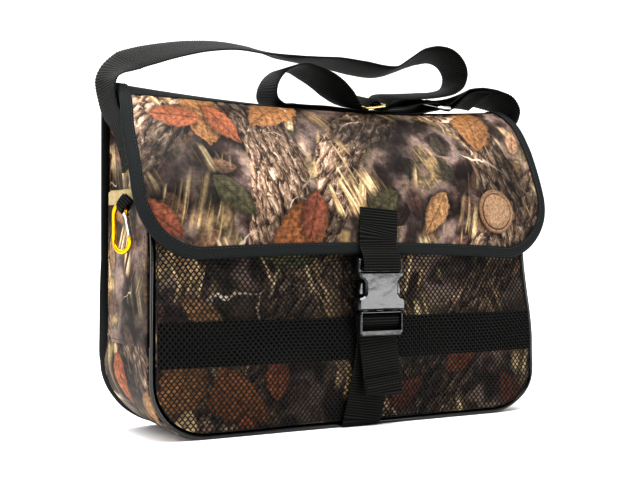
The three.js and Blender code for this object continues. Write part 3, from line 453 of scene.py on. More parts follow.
# Front band: flat black polypropylene webbing, laid across the front panel and sewn in with it at both side
# seams. The net lies over it, so it shows as a darker stripe with a crisp upper edge.
BAND = {"z": 79.0, "half": 194.0, "width": 38.0, "thickness": 1.0, "clear": 1.9}
# The webbing's ribs are drawn 2.4 mm apart, a little coarser than real, so that they show.
RIB = 2.4
RIB_NOTCH, RIB_RELIEF = 0.2, 0.2
ROUTE_STEPS = 24
WEB_EDGE = np.array(
    [(1, 0), (0.985, 0.7), (0.95, 1), (0.5, 1), (0, 1), (-0.5, 1), (-0.95, 1), (-0.985, 0.7),
     (-1, 0), (-0.985, -0.7), (-0.95, -1), (-0.5, -1), (0, -1), (0.5, -1), (0.95, -1), (0.985, -0.7)]
)


def unit(vectors):
    """Vectors at a length of 1."""
    return vectors / np.linalg.norm(vectors, axis=-1, keepdims=True)


def smooth_route(points):
    """A smooth line through points, in equal numbers of steps from each point to the next."""
    knots = np.asarray(points, float)
    knots = np.vstack([2 * knots[0] - knots[1], knots, 2 * knots[-1] - knots[-2]])
    share = np.arange(ROUTE_STEPS)[:, None] / ROUTE_STEPS
    line = []
    for a, b, c, d in zip(knots, knots[1:], knots[2:], knots[3:]):
        ab, bc, cd = (math.sqrt(np.linalg.norm(step)) for step in (b - a, c - b, d - c))
        leave = ((b - a) / ab - (c - a) / (ab + bc) + (c - b) / bc) * bc
        arrive = ((c - b) / bc - (d - b) / (bc + cd) + (d - c) / cd) * bc
        cubic, square = 2 * b - 2 * c + leave + arrive, 3 * c - 3 * b - 2 * leave - arrive
        line.append(((cubic * share + square) * share + leave) * share + b)
    return np.vstack([*line, knots[-2:-1]])


def run_along(line):
    """How far each point of a line has come along it."""
    return np.concatenate([[0], np.cumsum(np.linalg.norm(np.diff(line, axis=0), axis=1))])


def loft(name, middle, side, up, section, run):
    """A solid drawn along a line, from one closed section of (side, up) pairs for each of its rows."""
    rows, count = section.shape[:2]
    rim = middle[:, None] + section[..., :1] * side[:, None] + section[..., 1:] * up[:, None]
    place = np.arange(rows * count).reshape(rows, count)
    beside = np.roll(place, -1, axis=1)
    quads = np.stack([place[:-1], beside[:-1], beside[1:], place[1:]], axis=-1).reshape(-1, 4)
    mesh = bpy.data.meshes.new(name)
    caps = [place[0][::-1].tolist(), place[-1].tolist()]
    mesh.from_pydata((rim.reshape(-1, 3) * MM).tolist(), [], quads.tolist() + caps)
    flat = np.stack([section[..., 0], np.broadcast_to(run[:, None], (rows, count))], axis=-1).reshape(-1, 2)
    lay_flat(mesh, flat)
    mesh.shade_smooth()
    return new_piece(name, mesh)


def webbing(name, points, axis, width=40.0, thickness=1.8, tilts=0.0):
    """A woven strap with cross ribs along a route. Its width lies along an axis, turned by tilts in degrees.
    Axis, width and tilts are one for all points or one for each."""
    line = smooth_route(points)
    came = run_along(line)
    knots = came[::ROUTE_STEPS]
    run = np.linspace(0, came[-1], int(came[-1] / (RIB / 4)) + 2)
    middle = np.stack([np.interp(run, came, line[:, k]) for k in range(3)], axis=1)
    axes = np.broadcast_to(np.asarray(axis, float), (len(knots), 3))
    side = np.stack([np.interp(run, knots, axes[:, k]) for k in range(3)], axis=1)
    tangent = unit(np.gradient(middle, axis=0))
    side = unit(side - np.sum(side * tangent, axis=1, keepdims=True) * tangent)
    tilt = np.radians(np.interp(run, knots, np.broadcast_to(tilts, len(knots))))[:, None]
    side = side * np.cos(tilt) + np.cross(tangent, side) * np.sin(tilt)
    rib = np.cos(run * 2 * math.pi / RIB)[:, None]
    section = np.repeat(WEB_EDGE[None], len(run), axis=0)
    widths = np.interp(run, knots, np.broadcast_to(width, len(knots)))[:, None]
    section[..., 0] *= widths / 2 - RIB_NOTCH + RIB_NOTCH * rib
    section[..., 1] *= thickness / 2 - RIB_RELIEF * thickness * (1 - rib) / 2
    return loft(name, middle, side, np.cross(tangent, side), section, run)


def woven_black():
    """Polypropylene webbing: waxy black ribs, with a painted highlight of lighter grey on their backs and
    painted shade near black in the furrows.
    """
    material, add, shader = new_material("black_polypropylene_webbing")
    flat = add("UVMap", uv_map="cloth")
    yarns = add("VectorMath", {0: flat, 1: (1000 / 1.4, 1000 / RIB, 0)}, operation="MULTIPLY")
    place = add("SeparateXYZ", {0: yarns})
    share = add("Math", {0: place.outputs["Y"]}, operation="FRACT")
    off = add("Math", {0: share, 1: 0.5}, operation="SUBTRACT")
    crest = add("Math", {0: off}, operation="ABSOLUTE")
    # Painted light: the ramp paints each rib's back lighter and its furrow near black, as a lit rib beside a
    # shaded furrow.
    tone = fill_ramp(add("ValToRGB", {0: crest}), [(0.14, "#020202"), (0.3, "#111110"), (0.5, "#2b2b28")])
    yarn = add("TexVoronoi", {"Vector": yarns, "Scale": 1.0, "Randomness": 0.2}, voronoi_dimensions="2D")
    bump = add("Bump", {"Height": yarn, "Strength": 0.4, "Distance": 0.25 * MM}, invert=True)
    surface = {"Base Color": tone, "Normal": bump, "Roughness": 0.6, "IOR": 1.49}
    fill_inputs(shader, {**surface, "Specular IOR Level": 0.13})
    return material


black_webbing = woven_black()
band_x = np.linspace(-BAND["half"], BAND["half"], 33)
band_route = front_at(band_x, np.full_like(band_x, BAND["z"])) - np.array([0, BAND["clear"], 0])
front_band = webbing(
    "front_band_webbing", band_route, axis=(0, 0, 1), width=BAND["width"], thickness=BAND["thickness"]
)
settle(front_band, black_webbing, "webbing", "front_band")

# Net pocket: knotless black nylon net over the whole front panel, caught in the seam at the sides and the
# base. Its cells are flat-sided diamonds, five millimetres across, drawn a little out of line by hand
# sewing.
MESH = {"across": 4.9, "slant": 2.1, "side": 0.8, "strand": 1.25, "top": 240.0}
NET_LIE = {"clear": 1.7, "over_band": 1.4, "drift_x": 3.5, "drift_z": 3.0}


def front_half(z):
    """Half of the front panel's width at height z."""
    below = np.clip(FRONT_CUT["low"] + FRONT_CUT["corner"] - z, 0, FRONT_CUT["corner"])
    return FRONT_CUT["half"] - FRONT_CUT["corner"] + np.sqrt(FRONT_CUT["corner"] ** 2 - below**2)


def net_sheet():
    """The net as one sheet of six-sided cells, each edge of them made a strand."""
    row = MESH["slant"] + MESH["side"]
    columns, rows = int(2 * FRONT_CUT["half"] / MESH["across"]) + 2, int(MESH["top"] / row) + 1
    c, r = np.meshgrid(np.arange(columns), np.arange(rows))
    x = (c - columns / 2 + 0.5 * (r % 2)) * MESH["across"]
    z = FRONT_CUT["low"] + r * row
    kept = (np.abs(x) < front_half(z)) & (z < MESH["top"])
    tip, knot, half = MESH["side"] / 2 + MESH["slant"], MESH["side"] / 2, MESH["across"] / 2
    cell = np.array([(0, -tip), (half, -knot), (half, knot), (0, tip), (-half, knot), (-half, -knot)])
    corners = np.stack([x[kept], z[kept]], axis=-1)[:, None] + cell
    grid, place = np.unique(np.round(corners.reshape(-1, 2) / 0.05).astype(int), axis=0, return_inverse=True)
    x, z = grid.T * 0.05
    pull = 1 - np.abs(x) / FRONT_CUT["half"]
    x = x + NET_LIE["drift_x"] * pull * slackness(x, z, 150, seed=11)
    z = z + NET_LIE["drift_z"] * slackness(x, z, 130, seed=12)
    z = np.clip(z, FRONT_CUT["low"], None)
    x = np.clip(x, -front_half(z), front_half(z))
    past_band = np.abs(z - BAND["z"]) - BAND["width"] / 2 - 5
    over_band = 1 / (1 + np.exp(past_band / 1.5))
    points = front_at(x, z)
    points[:, 1] -= NET_LIE["clear"] + NET_LIE["over_band"] * over_band
    mesh = bpy.data.meshes.new("net")
    mesh.from_pydata((points * MM).tolist(), [], place.reshape(-1, 6).tolist())
    piece = new_piece("net_pocket_net", mesh)
    work_on(piece, "WIREFRAME", thickness=MESH["strand"] * MM, use_even_offset=False, use_boundary=True)
    mesh.shade_smooth()
    return piece


def plain_material(name, base, roughness, grain, ior=1.5, metallic=0.0, gloss=0.5):
    """A material of one substance with a fine grain: (size in mm, depth in mm, tone it drifts to). Metals
    keep the shader's own IOR."""
    material, add, shader = new_material(name)
    size, depth, other = grain
    place = add("TexCoord")
    rough = add(
        "TexNoise",
        {"Vector": place.outputs["Object"], "Scale": 1000 / size, "Detail": 3.0, "Roughness": 0.6},
    )
    tone = fill_ramp(add("ValToRGB", {0: rough}), [(0.35, base), (0.65, other)])
    bump = add("Bump", {"Height": rough, "Strength": 0.6, "Distance": depth * MM})
    surface = {"Base Color": tone, "Normal": bump, "Roughness": roughness, "Metallic": metallic}
    fill_inputs(shader, {**surface, "Specular IOR Level": gloss})
    if not metallic:
        shader.inputs["IOR"].default_value = ior
    return material


# Nylon net: soft black strands that catch a grey light along their round backs.
black_net = plain_material(
    "black_nylon_net", "#0f0f0f", 0.3, ior=1.53, grain=(0.6, 0.05, "#181717"), gloss=0.25
)
net = net_sheet()
settle(net, black_net, "net", "net_pocket")

# Gusset: one band of the printed canvas, down the left side, under the base and up the right side. It is
# sewn to the front panel along the piping and to the back panel along the taped fin.
FRONT_RADIUS, BACK_RADIUS = 50.0, 64.0
BACK = 45.0
GUSSET = {"front_gap": 3.5, "back": 43.6, "radius": 57.0, "print": (2300, 2320)}


def round_u(t, half, radius, top, inset=0.0):
    """x and z along a U with round corners: t is 0 to 5 down the left side, round a corner, along the base,
    round the other corner and up the right side. Inset moves it inwards."""
    first, second = np.clip(t - 1, 0, 1) * math.pi / 2, np.clip(t - 3, 0, 1) * math.pi / 2
    middle, bend = half - radius, radius - inset
    base = np.clip(t - 2, 0, 1) * 2 * middle - middle
    x = np.where(t < 3, base, middle + bend * np.sin(second))
    z = np.where(t < 3, inset, radius - bend * np.cos(second))
    x = np.where(t < 2, -middle - bend * np.cos(first), x)
    z = np.where(t < 2, radius - bend * np.sin(first), z)
    rise = (top - radius) * (np.clip(1 - t, 0, 1) + np.clip(t - 4, 0, 1))
    return x, z + rise


def u_run(t, half, radius, top):
    """How far t has come along that U."""
    legs = (top - radius, radius * math.pi / 2, 2 * (half - radius), radius * math.pi / 2, top - radius)
    return sum(leg * np.clip(t - k, 0, 1) for k, leg in enumerate(legs))


def gusset_cloth(u, v):
    """The gusset over u from front to back and v along the U, with its place on the printed roll."""
    t = v * 5
    x, z = round_u(t, BODY_HALF, FRONT_RADIUS + (BACK_RADIUS - FRONT_RADIUS) * u, MOUTH, CANVAS / 2)
    rim = profile_at(FRONT_PROFILE, "rim", z) + GUSSET["front_gap"]
    y = rim + (GUSSET["back"] - rim) * u
    run = u_run(t, BODY_HALF, GUSSET["radius"], MOUTH)
    return slumped(columns_of(x, y, z)), columns_of(y, -run) + GUSSET["print"]


gusset = cloth_sheet("gusset_cloth", gusset_cloth, 24, 240, CANVAS)
settle(gusset, canvas, "camo_cloth", "gusset")

# Front piping: a cord in a sleeve of glossy black vinyl, sewn into the seam between front panel and gusset.
# It keeps the front's outline firm and shines along its whole length.
PIPING = {"radius": 1.9, "inset": 2.2, "stitch": 4.2}
ROUND = columns_of(np.cos(np.arange(16) * math.pi / 8), np.sin(np.arange(16) * math.pi / 8))


def seam_line(rows, radius, inset, top=MOUTH):
    """Even values of t along a body seam, with the x and z of each."""
    t = np.linspace(0, 5, 6000)
    run = u_run(t, BODY_HALF, radius, top)
    t = np.interp(np.linspace(0, run[-1], rows), run, t)
    return t, *round_u(t, BODY_HALF, radius, top, inset)


t, x, z = seam_line(700, FRONT_RADIUS, PIPING["inset"])
middle = slumped(columns_of(x, profile_at(FRONT_PROFILE, "rim", z), z))
run = run_along(middle)
tangent = unit(np.gradient(middle, axis=0))
side = unit(np.array([0, 1.0, 0]) - tangent[:, 1:2] * tangent)
pinched = PIPING["radius"] * (0.99 + 0.01 * np.cos(run * 2 * math.pi / PIPING["stitch"]))
piping = loft(
    "front_piping_cord", middle, side, np.cross(tangent, side), ROUND[None] * pinched[:, None, None], run
)
# Piping vinyl: near black and glossy, so that it carries one long bright line of the window light.
vinyl = plain_material("black_vinyl", "#050606", 0.1, ior=1.53, grain=(1.5, 0.015, "#0a0b0c"), gloss=0.55)
settle(piping, vinyl, "piping", "front_piping")

# Back panel: the printed canvas again, with a stiffener that lets the bag stand. It bulges a little between
# its seams and ends in the seam that also holds the flap.
BACK_TOP = 257.2
BULGE = {"depth": 4.0, "slack": 0.6}
BACK_PRINT = (1500, 900)


def back_panel_cloth(u, v):
    """The back panel over u across it and v up it, with its place on the printed roll."""
    x, z = round_cornered(1 - u, v, half=BODY_HALF, low=0.2, corner=BACK_RADIUS, top=BACK_TOP)
    bulge = (1 - (x / BODY_HALF) ** 2) * np.sin(math.pi * z / BACK_TOP)
    y = BACK + bulge * (BULGE["depth"] + BULGE["slack"] * slackness(x, z, 130, seed=5))
    return slumped(columns_of(x, y, z)), columns_of(-x, z) + BACK_PRINT


back_panel = cloth_sheet("back_panel_cloth", back_panel_cloth, 72, 56, CANVAS)
settle(back_panel, canvas, "camo_cloth", "back_panel")

# Back binding: woven tape folded over the raw edges of gusset and back panel, so that the seam stands out as
# a fin along the sides, up past the mouth to the end of the flap, and lies flat under the base.
FIN = {"y": 46.0, "width": 6.2, "thickness": 3.5, "above": 18.0, "gap": 0.8, "side": -3.8, "under": 0.3}
# It turns under in two steps: each is a place along the seam, a length there and an angle.
FIN_TURNS = [(0.62, 0.42, 78), (1.5, 0.4, 12)]


def tape_black():
    """Woven polyester tape: matt black with a fine cross rib, and painted shade where its yarns dip."""
    material, add, shader = new_material("black_polyester_tape")
    flat = add("UVMap", uv_map="cloth")
    ribs = add("VectorMath", {0: flat, 1: (1000 / 1.6, 1000 / 1.1, 0)}, operation="MULTIPLY")
    yarn = add("TexVoronoi", {"Vector": ribs, "Scale": 1.0, "Randomness": 0.25}, voronoi_dimensions="2D")
    # Painted shade: each yarn is painted lighter in its middle and near black at its edges, where the bump
    # sinks it.
    tone = fill_ramp(add("ValToRGB", {0: yarn}), [(0.1, "#272a2a"), (0.5, "#181a1a"), (0.75, "#070808")])
    bump = add("Bump", {"Height": yarn, "Strength": 0.5, "Distance": 0.2 * MM}, invert=True)
    surface = {"Base Color": tone, "Normal": bump, "Roughness": 0.7, "Specular IOR Level": 0.15}
    fill_inputs(shader, surface)
    return material


t, x, z = seam_line(500, BACK_RADIUS, 0.0, MOUTH + FIN["above"])
line = slumped(np.stack([x, np.full_like(x, FIN["y"]), z], axis=-1))
from_end = np.minimum(t, 5 - t)[:, None]
turned = sum(np.radians(angle) * np.clip((from_end - at) / length, 0, 1) for at, length, angle in FIN_TURNS)
tangent = unit(np.gradient(line, axis=0))
backward = np.array([0, 1.0, 0])
outward = np.cross(backward, tangent)
along = outward * np.cos(turned) + backward * np.sin(turned)
thick = backward * np.cos(turned) - outward * np.sin(turned)
shift = FIN["side"] + (FIN["under"] - FIN["side"]) * turned / np.radians(90)
middle = line + along * (FIN["gap"] + FIN["width"] / 2) + thick * (shift + FIN["thickness"] / 2)
corner_round = np.array(
    [(1, 0), (0.97, 0.6), (0.88, 0.88), (0.7, 1), (-1, 1), (-1, -1), (0.7, -1), (0.88, -0.88), (0.97, -0.6)]
)
section = np.repeat(corner_round[None], len(t), axis=0) * np.array([FIN["width"], FIN["thickness"]]) / 2
section[:, 4:6, 0] -= 0.9 + 2.2 * np.sin(2 * turned)
back_binding = loft("back_binding_tape", middle, along, thick, section, run_along(middle))
black_tape = tape_black()
settle(back_binding, black_tape, "binding", "back_binding")

# Flap: printed canvas, sewn into the back seam, over the crest and down the front to a hem with round
# corners. It hangs in one soft curve and stands off the body at both sides. Each row: y, z, half width, and
# how far its middle stands forwards and sinks.
FLAP_PROFILE = np.array(
    [
        (45.6, 258, 198, 0, 0),
        (43, 283, 200, 0, 8),
        (18, 297, 203, 0, 10),
        (-7, 284, 209, 5, 9),
        (-24, 257, 213, 8, 5),
        (-38.5, 225, 213, 9.5, 2),
        (-47.5, 192, 213, 10.5, 0),
        (-50, 147, 213, 10, -8),
    ]
)
FLAP_HALF, FLAP_CORNER = 213.0, 58.0
FLAP_SHARES = np.linspace(0, 1, 241)
FLAP_XS = np.linspace(-220, 220, 111)
FLAP_HANG = {"slack": 1.3, "wave": 110, "held_at": 11, "held_width": 45, "right": 5.2}
FLAP_PRINT = (2813, 1598)


def flap_sections():
    """The flap's curve from back seam to hem at each of FLAP_XS, in even shares of its length, with the
    share of its width at each, and its length in the middle."""
    y, z, half, forward, drop = FLAP_PROFILE.T
    curves = []
    for x in FLAP_XS:
        bow = min(abs(x) / FLAP_HALF, 1)
        knots = columns_of(y - forward * (1 - bow**4), z - drop * (1 - bow**2))
        line = smooth_route(knots)
        came = run_along(line)
        run = FLAP_SHARES * came[-1]
        curves.append(np.stack([np.interp(run, came, line[:, k]) for k in range(2)], axis=-1))
    centre = smooth_route(columns_of(y - forward, z - drop))
    came = run_along(centre)
    place = np.interp(FLAP_SHARES * came[-1], came, np.arange(len(centre)) / ROUTE_STEPS)
    row = np.clip(place.astype(int), 0, len(half) - 2)
    widths = np.minimum(smooth_between(half, row, place - row), FLAP_HALF) / FLAP_HALF
    return np.array(curves), widths, came[-1]


FLAP_CURVES, FLAP_WIDTHS, FLAP_LENGTH = flap_sections()


def flap_middle(x, d):
    """The middle of the flap's cloth at x from its centre line and d up from its hem."""
    share = np.clip(1 - d / FLAP_LENGTH, 0, 1) * (len(FLAP_SHARES) - 1)
    column = np.clip((x - FLAP_XS[0]) / (FLAP_XS[1] - FLAP_XS[0]), 0, len(FLAP_XS) - 1.001)
    i, j = column.astype(int), np.minimum(share.astype(int), len(FLAP_SHARES) - 2)
    f, g = (column - i)[..., None], (share - j)[..., None]
    near = FLAP_CURVES[i, j] * (1 - g) + FLAP_CURVES[i, j + 1] * g
    far = FLAP_CURVES[i + 1, j] * (1 - g) + FLAP_CURVES[i + 1, j + 1] * g
    yz = near * (1 - f) + far * f
    width = FLAP_WIDTHS[j] * (1 - g[..., 0]) + FLAP_WIDTHS[j + 1] * g[..., 0]
    free = 1 - np.exp(-(((x - FLAP_HANG["held_at"]) / FLAP_HANG["held_width"]) ** 2))
    hangs = np.clip(d / 25, 0, 1) * np.clip((150 - d) / 60, 0, 1) * free
    slack = FLAP_HANG["slack"] * hangs * slackness(x, d, FLAP_HANG["wave"], seed=21)
    wider = FLAP_HANG["right"] * np.clip((x - 60) / 150, 0, 1) ** 2
    return np.stack([x * width + wider, yz[..., 0] - slack, yz[..., 1]], axis=-1)


def flap_at(x, d, height=0.0):
    """A point over the flap, at a height off the middle of its cloth."""
    x, d = np.broadcast_arrays(np.asarray(x, float), np.asarray(d, float))
    across = flap_middle(x + 1, d) - flap_middle(x - 1, d)
    along = flap_middle(x, d + 1) - flap_middle(x, np.maximum(d - 1, 0))
    return flap_middle(x, d) + np.asarray(height)[..., None] * unit(np.cross(across, along))


def flap_cloth(u, v):
    """The flap over u across it and v up from its hem, with its place on the printed roll."""
    x, d = round_cornered(u, v, half=FLAP_HALF, low=0.0, corner=FLAP_CORNER, top=FLAP_LENGTH)
    return flap_middle(x, d), columns_of(x, d) + FLAP_PRINT


flap = cloth_sheet("flap_cloth", flap_cloth, 110, 100, CANVAS)
settle(flap, canvas, "camo_cloth", "flap")

# Flap binding: the same black tape, folded round the flap's raw edge and stitched through, all the way from
# one end of the back seam to the other.
TAPE = {"inset": 8.5, "thickness": 1.0, "gap": 0.68, "edge": 0.8, "width": 24.0, "length": 930.0}


def tape_fold(w, flat_inset, round_out):
    """Inset and height across a tape folded round an edge, for w from 0 outside to 1 inside."""
    turn = np.clip((w - 0.36) / 0.28, 0, 1) * math.pi
    reach = np.clip((0.36 - w) / 0.36, 0, 1) + np.clip((w - 0.64) / 0.36, 0, 1)
    inset = TAPE["edge"] + reach * (flat_inset - TAPE["edge"]) - round_out * np.sin(turn)
    return inset, round_out * np.cos(turn)


def flap_tape(u, v):
    """The tape over u across its fold and v along the flap's edge, with its own flat places."""
    inset, height = tape_fold(u, TAPE["inset"], CANVAS / 2 + TAPE["gap"] + TAPE["thickness"] / 2)
    top = FLAP_CORNER + (FLAP_LENGTH - FLAP_CORNER) * 15 / 16
    t = v * 5
    x, d = round_u(t, FLAP_HALF, FLAP_CORNER, top, 0.0)
    inner_x, inner_d = round_u(t, FLAP_HALF, FLAP_CORNER, top, 1.0)
    x, d = x + (inner_x - x) * inset, d + (inner_d - d) * inset
    points = flap_at(x, np.maximum(d, 0), height)
    hem = flap_middle(x, np.zeros_like(x))
    down = unit(hem - flap_middle(x, np.ones_like(x)))
    points = points + down * np.maximum(-d, 0)[:, None]
    run = u_run(t, FLAP_HALF, FLAP_CORNER, top)
    return points, np.stack([u * TAPE["width"], run], axis=-1)


flap_binding = cloth_sheet("flap_binding_tape", flap_tape, 18, 420, TAPE["thickness"])
settle(flap_binding, black_tape, "binding", "flap_binding")


def stitches(name, lines, pitch=3.4, length=2.5, radius=0.3):
    """Rows of lockstitch as one mesh, each stitch a small grain of thread. A line is points and normals."""
    turn = np.arange(6) * math.pi / 3
    ring = columns_of(np.zeros(6), np.cos(turn) * radius, np.sin(turn) * radius)
    reach = np.array([length / 2, 0, 0])
    grain = np.vstack([-reach, ring - reach * 0.55, ring + reach * 0.55, reach])
    k = np.arange(6)
    j = (k + 1) % 6
    faces = [(0, 1 + b, 1 + a) for a, b in zip(k, j)]
    faces += [(1 + a, 1 + b, 7 + b, 7 + a) for a, b in zip(k, j)]
    faces += [(13, 7 + a, 7 + b) for a, b in zip(k, j)]
    corners, polygons = [], []
    for points, normals in lines:
        came = run_along(points)
        at = np.arange(pitch / 2, came[-1], pitch)
        centre, normal, ahead = (
            np.stack([np.interp(at, came, row[:, i]) for i in range(3)], axis=1)
            for row in (points, normals, np.gradient(points, axis=0))
        )
        ahead = unit(ahead)
        normal = unit(normal - np.sum(normal * ahead, axis=1, keepdims=True) * ahead)
        axes = np.stack([ahead, np.cross(normal, ahead), normal], axis=1)
        for place, frame_axes in zip(centre + 0.1 * normal, axes):
            polygons += [tuple(len(corners) * 14 + i for i in face) for face in faces]
            corners.append(place + grain @ frame_axes)
    mesh = bpy.data.meshes.new(name)
    mesh.from_pydata((np.vstack(corners) * MM).tolist(), [], polygons)
    mesh.shade_smooth()
    return new_piece(name, mesh)


def flap_tape_line(inset):
    """Points and normals along the binding's outer face, at an inset from the flap's edge."""
    even = np.linspace(0, 5, 900)
    run = u_run(even, FLAP_HALF, FLAP_CORNER, FLAP_LENGTH)
    t = np.interp(np.linspace(0, TAPE["length"], 900), run, even)
    x, d = round_u(t, FLAP_HALF, FLAP_CORNER, FLAP_LENGTH - 8, inset)
    face = CANVAS / 2 + TAPE["gap"] + TAPE["thickness"]
    points = flap_at(x, d, np.full_like(x, face))
    return points, flap_at(x, d, np.full_like(x, face + 1)) - points


# Thread: bonded polyester with a slight gloss, a shade lighter than the tape and webbing it holds.
thread = plain_material("black_thread", "#141414", 0.4, grain=(0.4, 0.02, "#1f1f1e"))
binding_stitches = stitches("flap_binding_stitches", [flap_tape_line(6.9)])
settle(binding_stitches, thread, "binding")

# Crest tape: a strip of the same tape over the flap's back seam allowance. It was sewn on a little askew, so
# that its front edge comes over the crest at the left and drops behind it towards the right.
CREST_TAPE = {"half": 211.0, "left": 23.0, "right": 4.0, "level_from": 20.0, "back": 14.0, "thickness": 0.6}
crest_d = FLAP_LENGTH * (1 - FLAP_SHARES[FLAP_CURVES[..., 1].argmax(axis=1)])


def crest_tape_front(x):
    """How far up from the hem the crest tape's front edge lies at x."""
    ends = [-CREST_TAPE["half"], CREST_TAPE["level_from"]]
    return np.interp(x, FLAP_XS, crest_d) - np.interp(x, ends, [CREST_TAPE["left"], CREST_TAPE["right"]])


def crest_tape_cloth(u, v):
    """The crest tape from its front edge to its back edge, lying on the flap."""
    x = CREST_TAPE["half"] * (2 * u - 1)
    front = crest_tape_front(x)
    d = front + v * (np.interp(x, FLAP_XS, crest_d) + CREST_TAPE["back"] - front)
    return flap_at(x, d), columns_of(d, x)


crest_tape = cloth_sheet(
    "flap_crest_tape", crest_tape_cloth, 110, 16, CREST_TAPE["thickness"],
    lift=CANVAS / 2 + 0.05 + CREST_TAPE["thickness"] / 2,
)
settle(crest_tape, black_tape, "binding")

# Leather patch: a plain disc of tan vegetable-tanned leather near the flap's right corner, with one pressed
# ring inside its edge.
PATCH = {"x": 147.2, "d": 40.0, "face": 3.8}
# Pairs of a radius and a height over the middle of the flap's cloth, from the face round the rim to the
# back.
PATCH_RINGS = [
    (0.0, 3.8), (8.0, 3.8), (16.2, 3.8), (16.7, 3.4), (17.2, 3.1), (17.7, 3.4), (18.1, 3.9), (18.6, 4.0),
    (19.4, 3.8), (20.0, 3.1), (20.0, 2.0), (19.6, 1.8), (8.0, 1.8), (0.0, 1.8),
]


def leather_disc():
    """The disc, turned from its rings over the curved flap, with its middle points merged."""
    rings = np.array(PATCH_RINGS)
    turn = np.arange(96) * math.pi / 48
    x = PATCH["x"] + rings[:, :1] * np.cos(turn)
    d = PATCH["d"] + rings[:, :1] * np.sin(turn)
    points = flap_at(x, d, np.broadcast_to(rings[:, 1:], x.shape)).reshape(-1, 3)
    place = np.arange(points.shape[0]).reshape(x.shape)
    beside = np.roll(place, -1, axis=1)
    quads = np.stack([place[:-1], place[1:], beside[1:], beside[:-1]], axis=-1).reshape(-1, 4)
    mesh = bpy.data.meshes.new("leather_disc")
    mesh.from_pydata((points * MM).tolist(), [], quads.tolist())
    piece = new_piece("leather_patch_disc", mesh)
    piece.select_set(True)
    bpy.ops.object.mode_set(mode="EDIT")
    bpy.ops.mesh.select_all(action="SELECT")
    bpy.ops.mesh.remove_doubles(threshold=0.02 * MM)
    bpy.ops.object.mode_set(mode="OBJECT")
    bpy.ops.object.shade_smooth_by_angle(angle=math.radians(50))
    piece.select_set(False)
    return piece


def tanned_leather(centre):
    """Vegetable-tanned leather: warm tan with a pebbled grain, darker in the pressed ring and a little darker
    on the rim's side.
    """
    material, add, shader = new_material("tan_leather")
    place = add("TexCoord")
    pebbles = add(
        "TexNoise",
        {"Vector": place.outputs["Object"], "Scale": 1000 / 2.2, "Detail": 4.0, "Roughness": 0.65},
    )
    hide = fill_ramp(add("ValToRGB", {0: pebbles}), [(0.3, "#5f4733"), (0.5, "#856b52"), (0.7, "#a28a71")])
    away = add("VectorMath", {0: place.outputs["Object"], 1: centre}, operation="DISTANCE")
    share = add("Math", {0: away.outputs["Value"], 1: 40.0}, operation="MULTIPLY")
    # The ramp darkens the pressed ring and the side of the rim, and leaves the face as it is.
    ring_and_rim_tone = fill_ramp(
        add("ValToRGB", {0: share}),
        [(0.3, "#ffffff"), (0.65, "#f0e8e0"), (0.675, "#75604f"), (0.7, "#75604f"), (0.73, "#ffffff"),
         (0.8, "#c4b3a3")],
    )
    tone = add("Mix", {0: 1.0, 6: hide, 7: ring_and_rim_tone}, data_type="RGBA", blend_type="MULTIPLY")
    bump = add("Bump", {"Height": pebbles, "Strength": 0.6, "Distance": 0.2 * MM})
    surface = {"Base Color": tone.outputs[2], "Normal": bump, "Roughness": 0.6, "IOR": 1.45}
    fill_inputs(shader, surface)
    return material


patch_centre = flap_at(PATCH["x"], PATCH["d"], PATCH["face"]) * MM
tan_leather = tanned_leather(tuple(patch_centre))
patch = leather_disc()
settle(patch, tan_leather, "leather", "leather_patch")

# Shoulder strap: 40 mm black webbing. It rises from the left wall over the top, hangs in a slack loop
# through the slider, lies along the crest, goes round the ring and ends at the slider's middle bar. Its rows
# are x, y, z, tilt and lean.
SLIDER = {"x": 52.0, "z": 298.0, "slope": 10.0}
RING = {"x": 132.0, "z": 302.0, "bar": 6.75, "reach": 3.15}
STRAP_Y = 22.0
OVER_TOP = [
    (-201.7, -11, 228), (-201.7, -8, 237), (-202.5, -1, 250), (-204.5, 8, 262), (-209.7, 14, 275),
    (-211.9, 18, 288), (-211.1, 20, 301, 6), (-203, 22, 312, 20), (-191, 22, 320, 30), (-173, 22, 326.5, 29),
    (-150, 22, 333, 25), (-124, 22, 338.5, 21), (-95, 22, 341.3, 18), (-67, 22, 339.6, 17),
    (-38, 22, 336.3, 5), (-12, 22, 335.4), (14, 22, 334.8, -6), (43, 22, 332, -10), (66, 22, 330.2, -9),
    (80, 22, 331.6, -8),
    (98, 22, 340, -15), (113, 22, 347.5, -20), (128, 22, 351.5, -19), (143, 22, 351.5, -13),
    (155, 22, 345, -7), (161, 22, 334, -3), (157, 22, 322, 0, 3), (145, 22, 315, 0, 8),
    (124, 22, 311, 0, 12), (98, 22, 308, 0, 13),
]
THROUGH_SLIDER = [
    (20, 3.2), (14.6, -1.2), (10.4, -3), (7.9, -2), (6.9, 0), (5.4, 2.6), (3.2, 4.6), (0, 5.3), (-3.2, 4.6),
    (-5.4, 2.6), (-6.9, 0), (-7.9, -2), (-10, -2.8),
]
ALONG_CREST = [
    (37.5, 22, 293.8, 0, 10), (32, 22, 297.6, 5, 6), (25, 22, 303.4, 11, 2), (15, 22, 310.6, 15),
    (4, 22, 317.4, 14), (-10, 22, 323.2, 10), (-24, 22, 327, 4), (-39, 22, 324), (-49.5, 22, 316),
    (-55, 22, 306), (-54.5, 23, 297), (-49, 24, 291.8), (-38, 26, 290, -3), (0, 27, 289.8, -4),
    (40, 26, 290.4, 0, 3),
    (80, 24, 291.6, 0, 11), (104, 22, 294, 0, 13), (117, 22, 297.2, 0, 13),
]
TO_MIDDLE_BAR = [(107, 22, 303.8, 0, 13), (88, 22, 299.4, 0, 13)]
ROUND_MIDDLE_BAR = [
    (18, -4.2), (12, -5.1), (8, -5), (5.5, -3.7), (4.3, -1.5), (3.6, 0.3), (2.6, 2), (0.5, 2.7), (-1.5, 2.7),
]
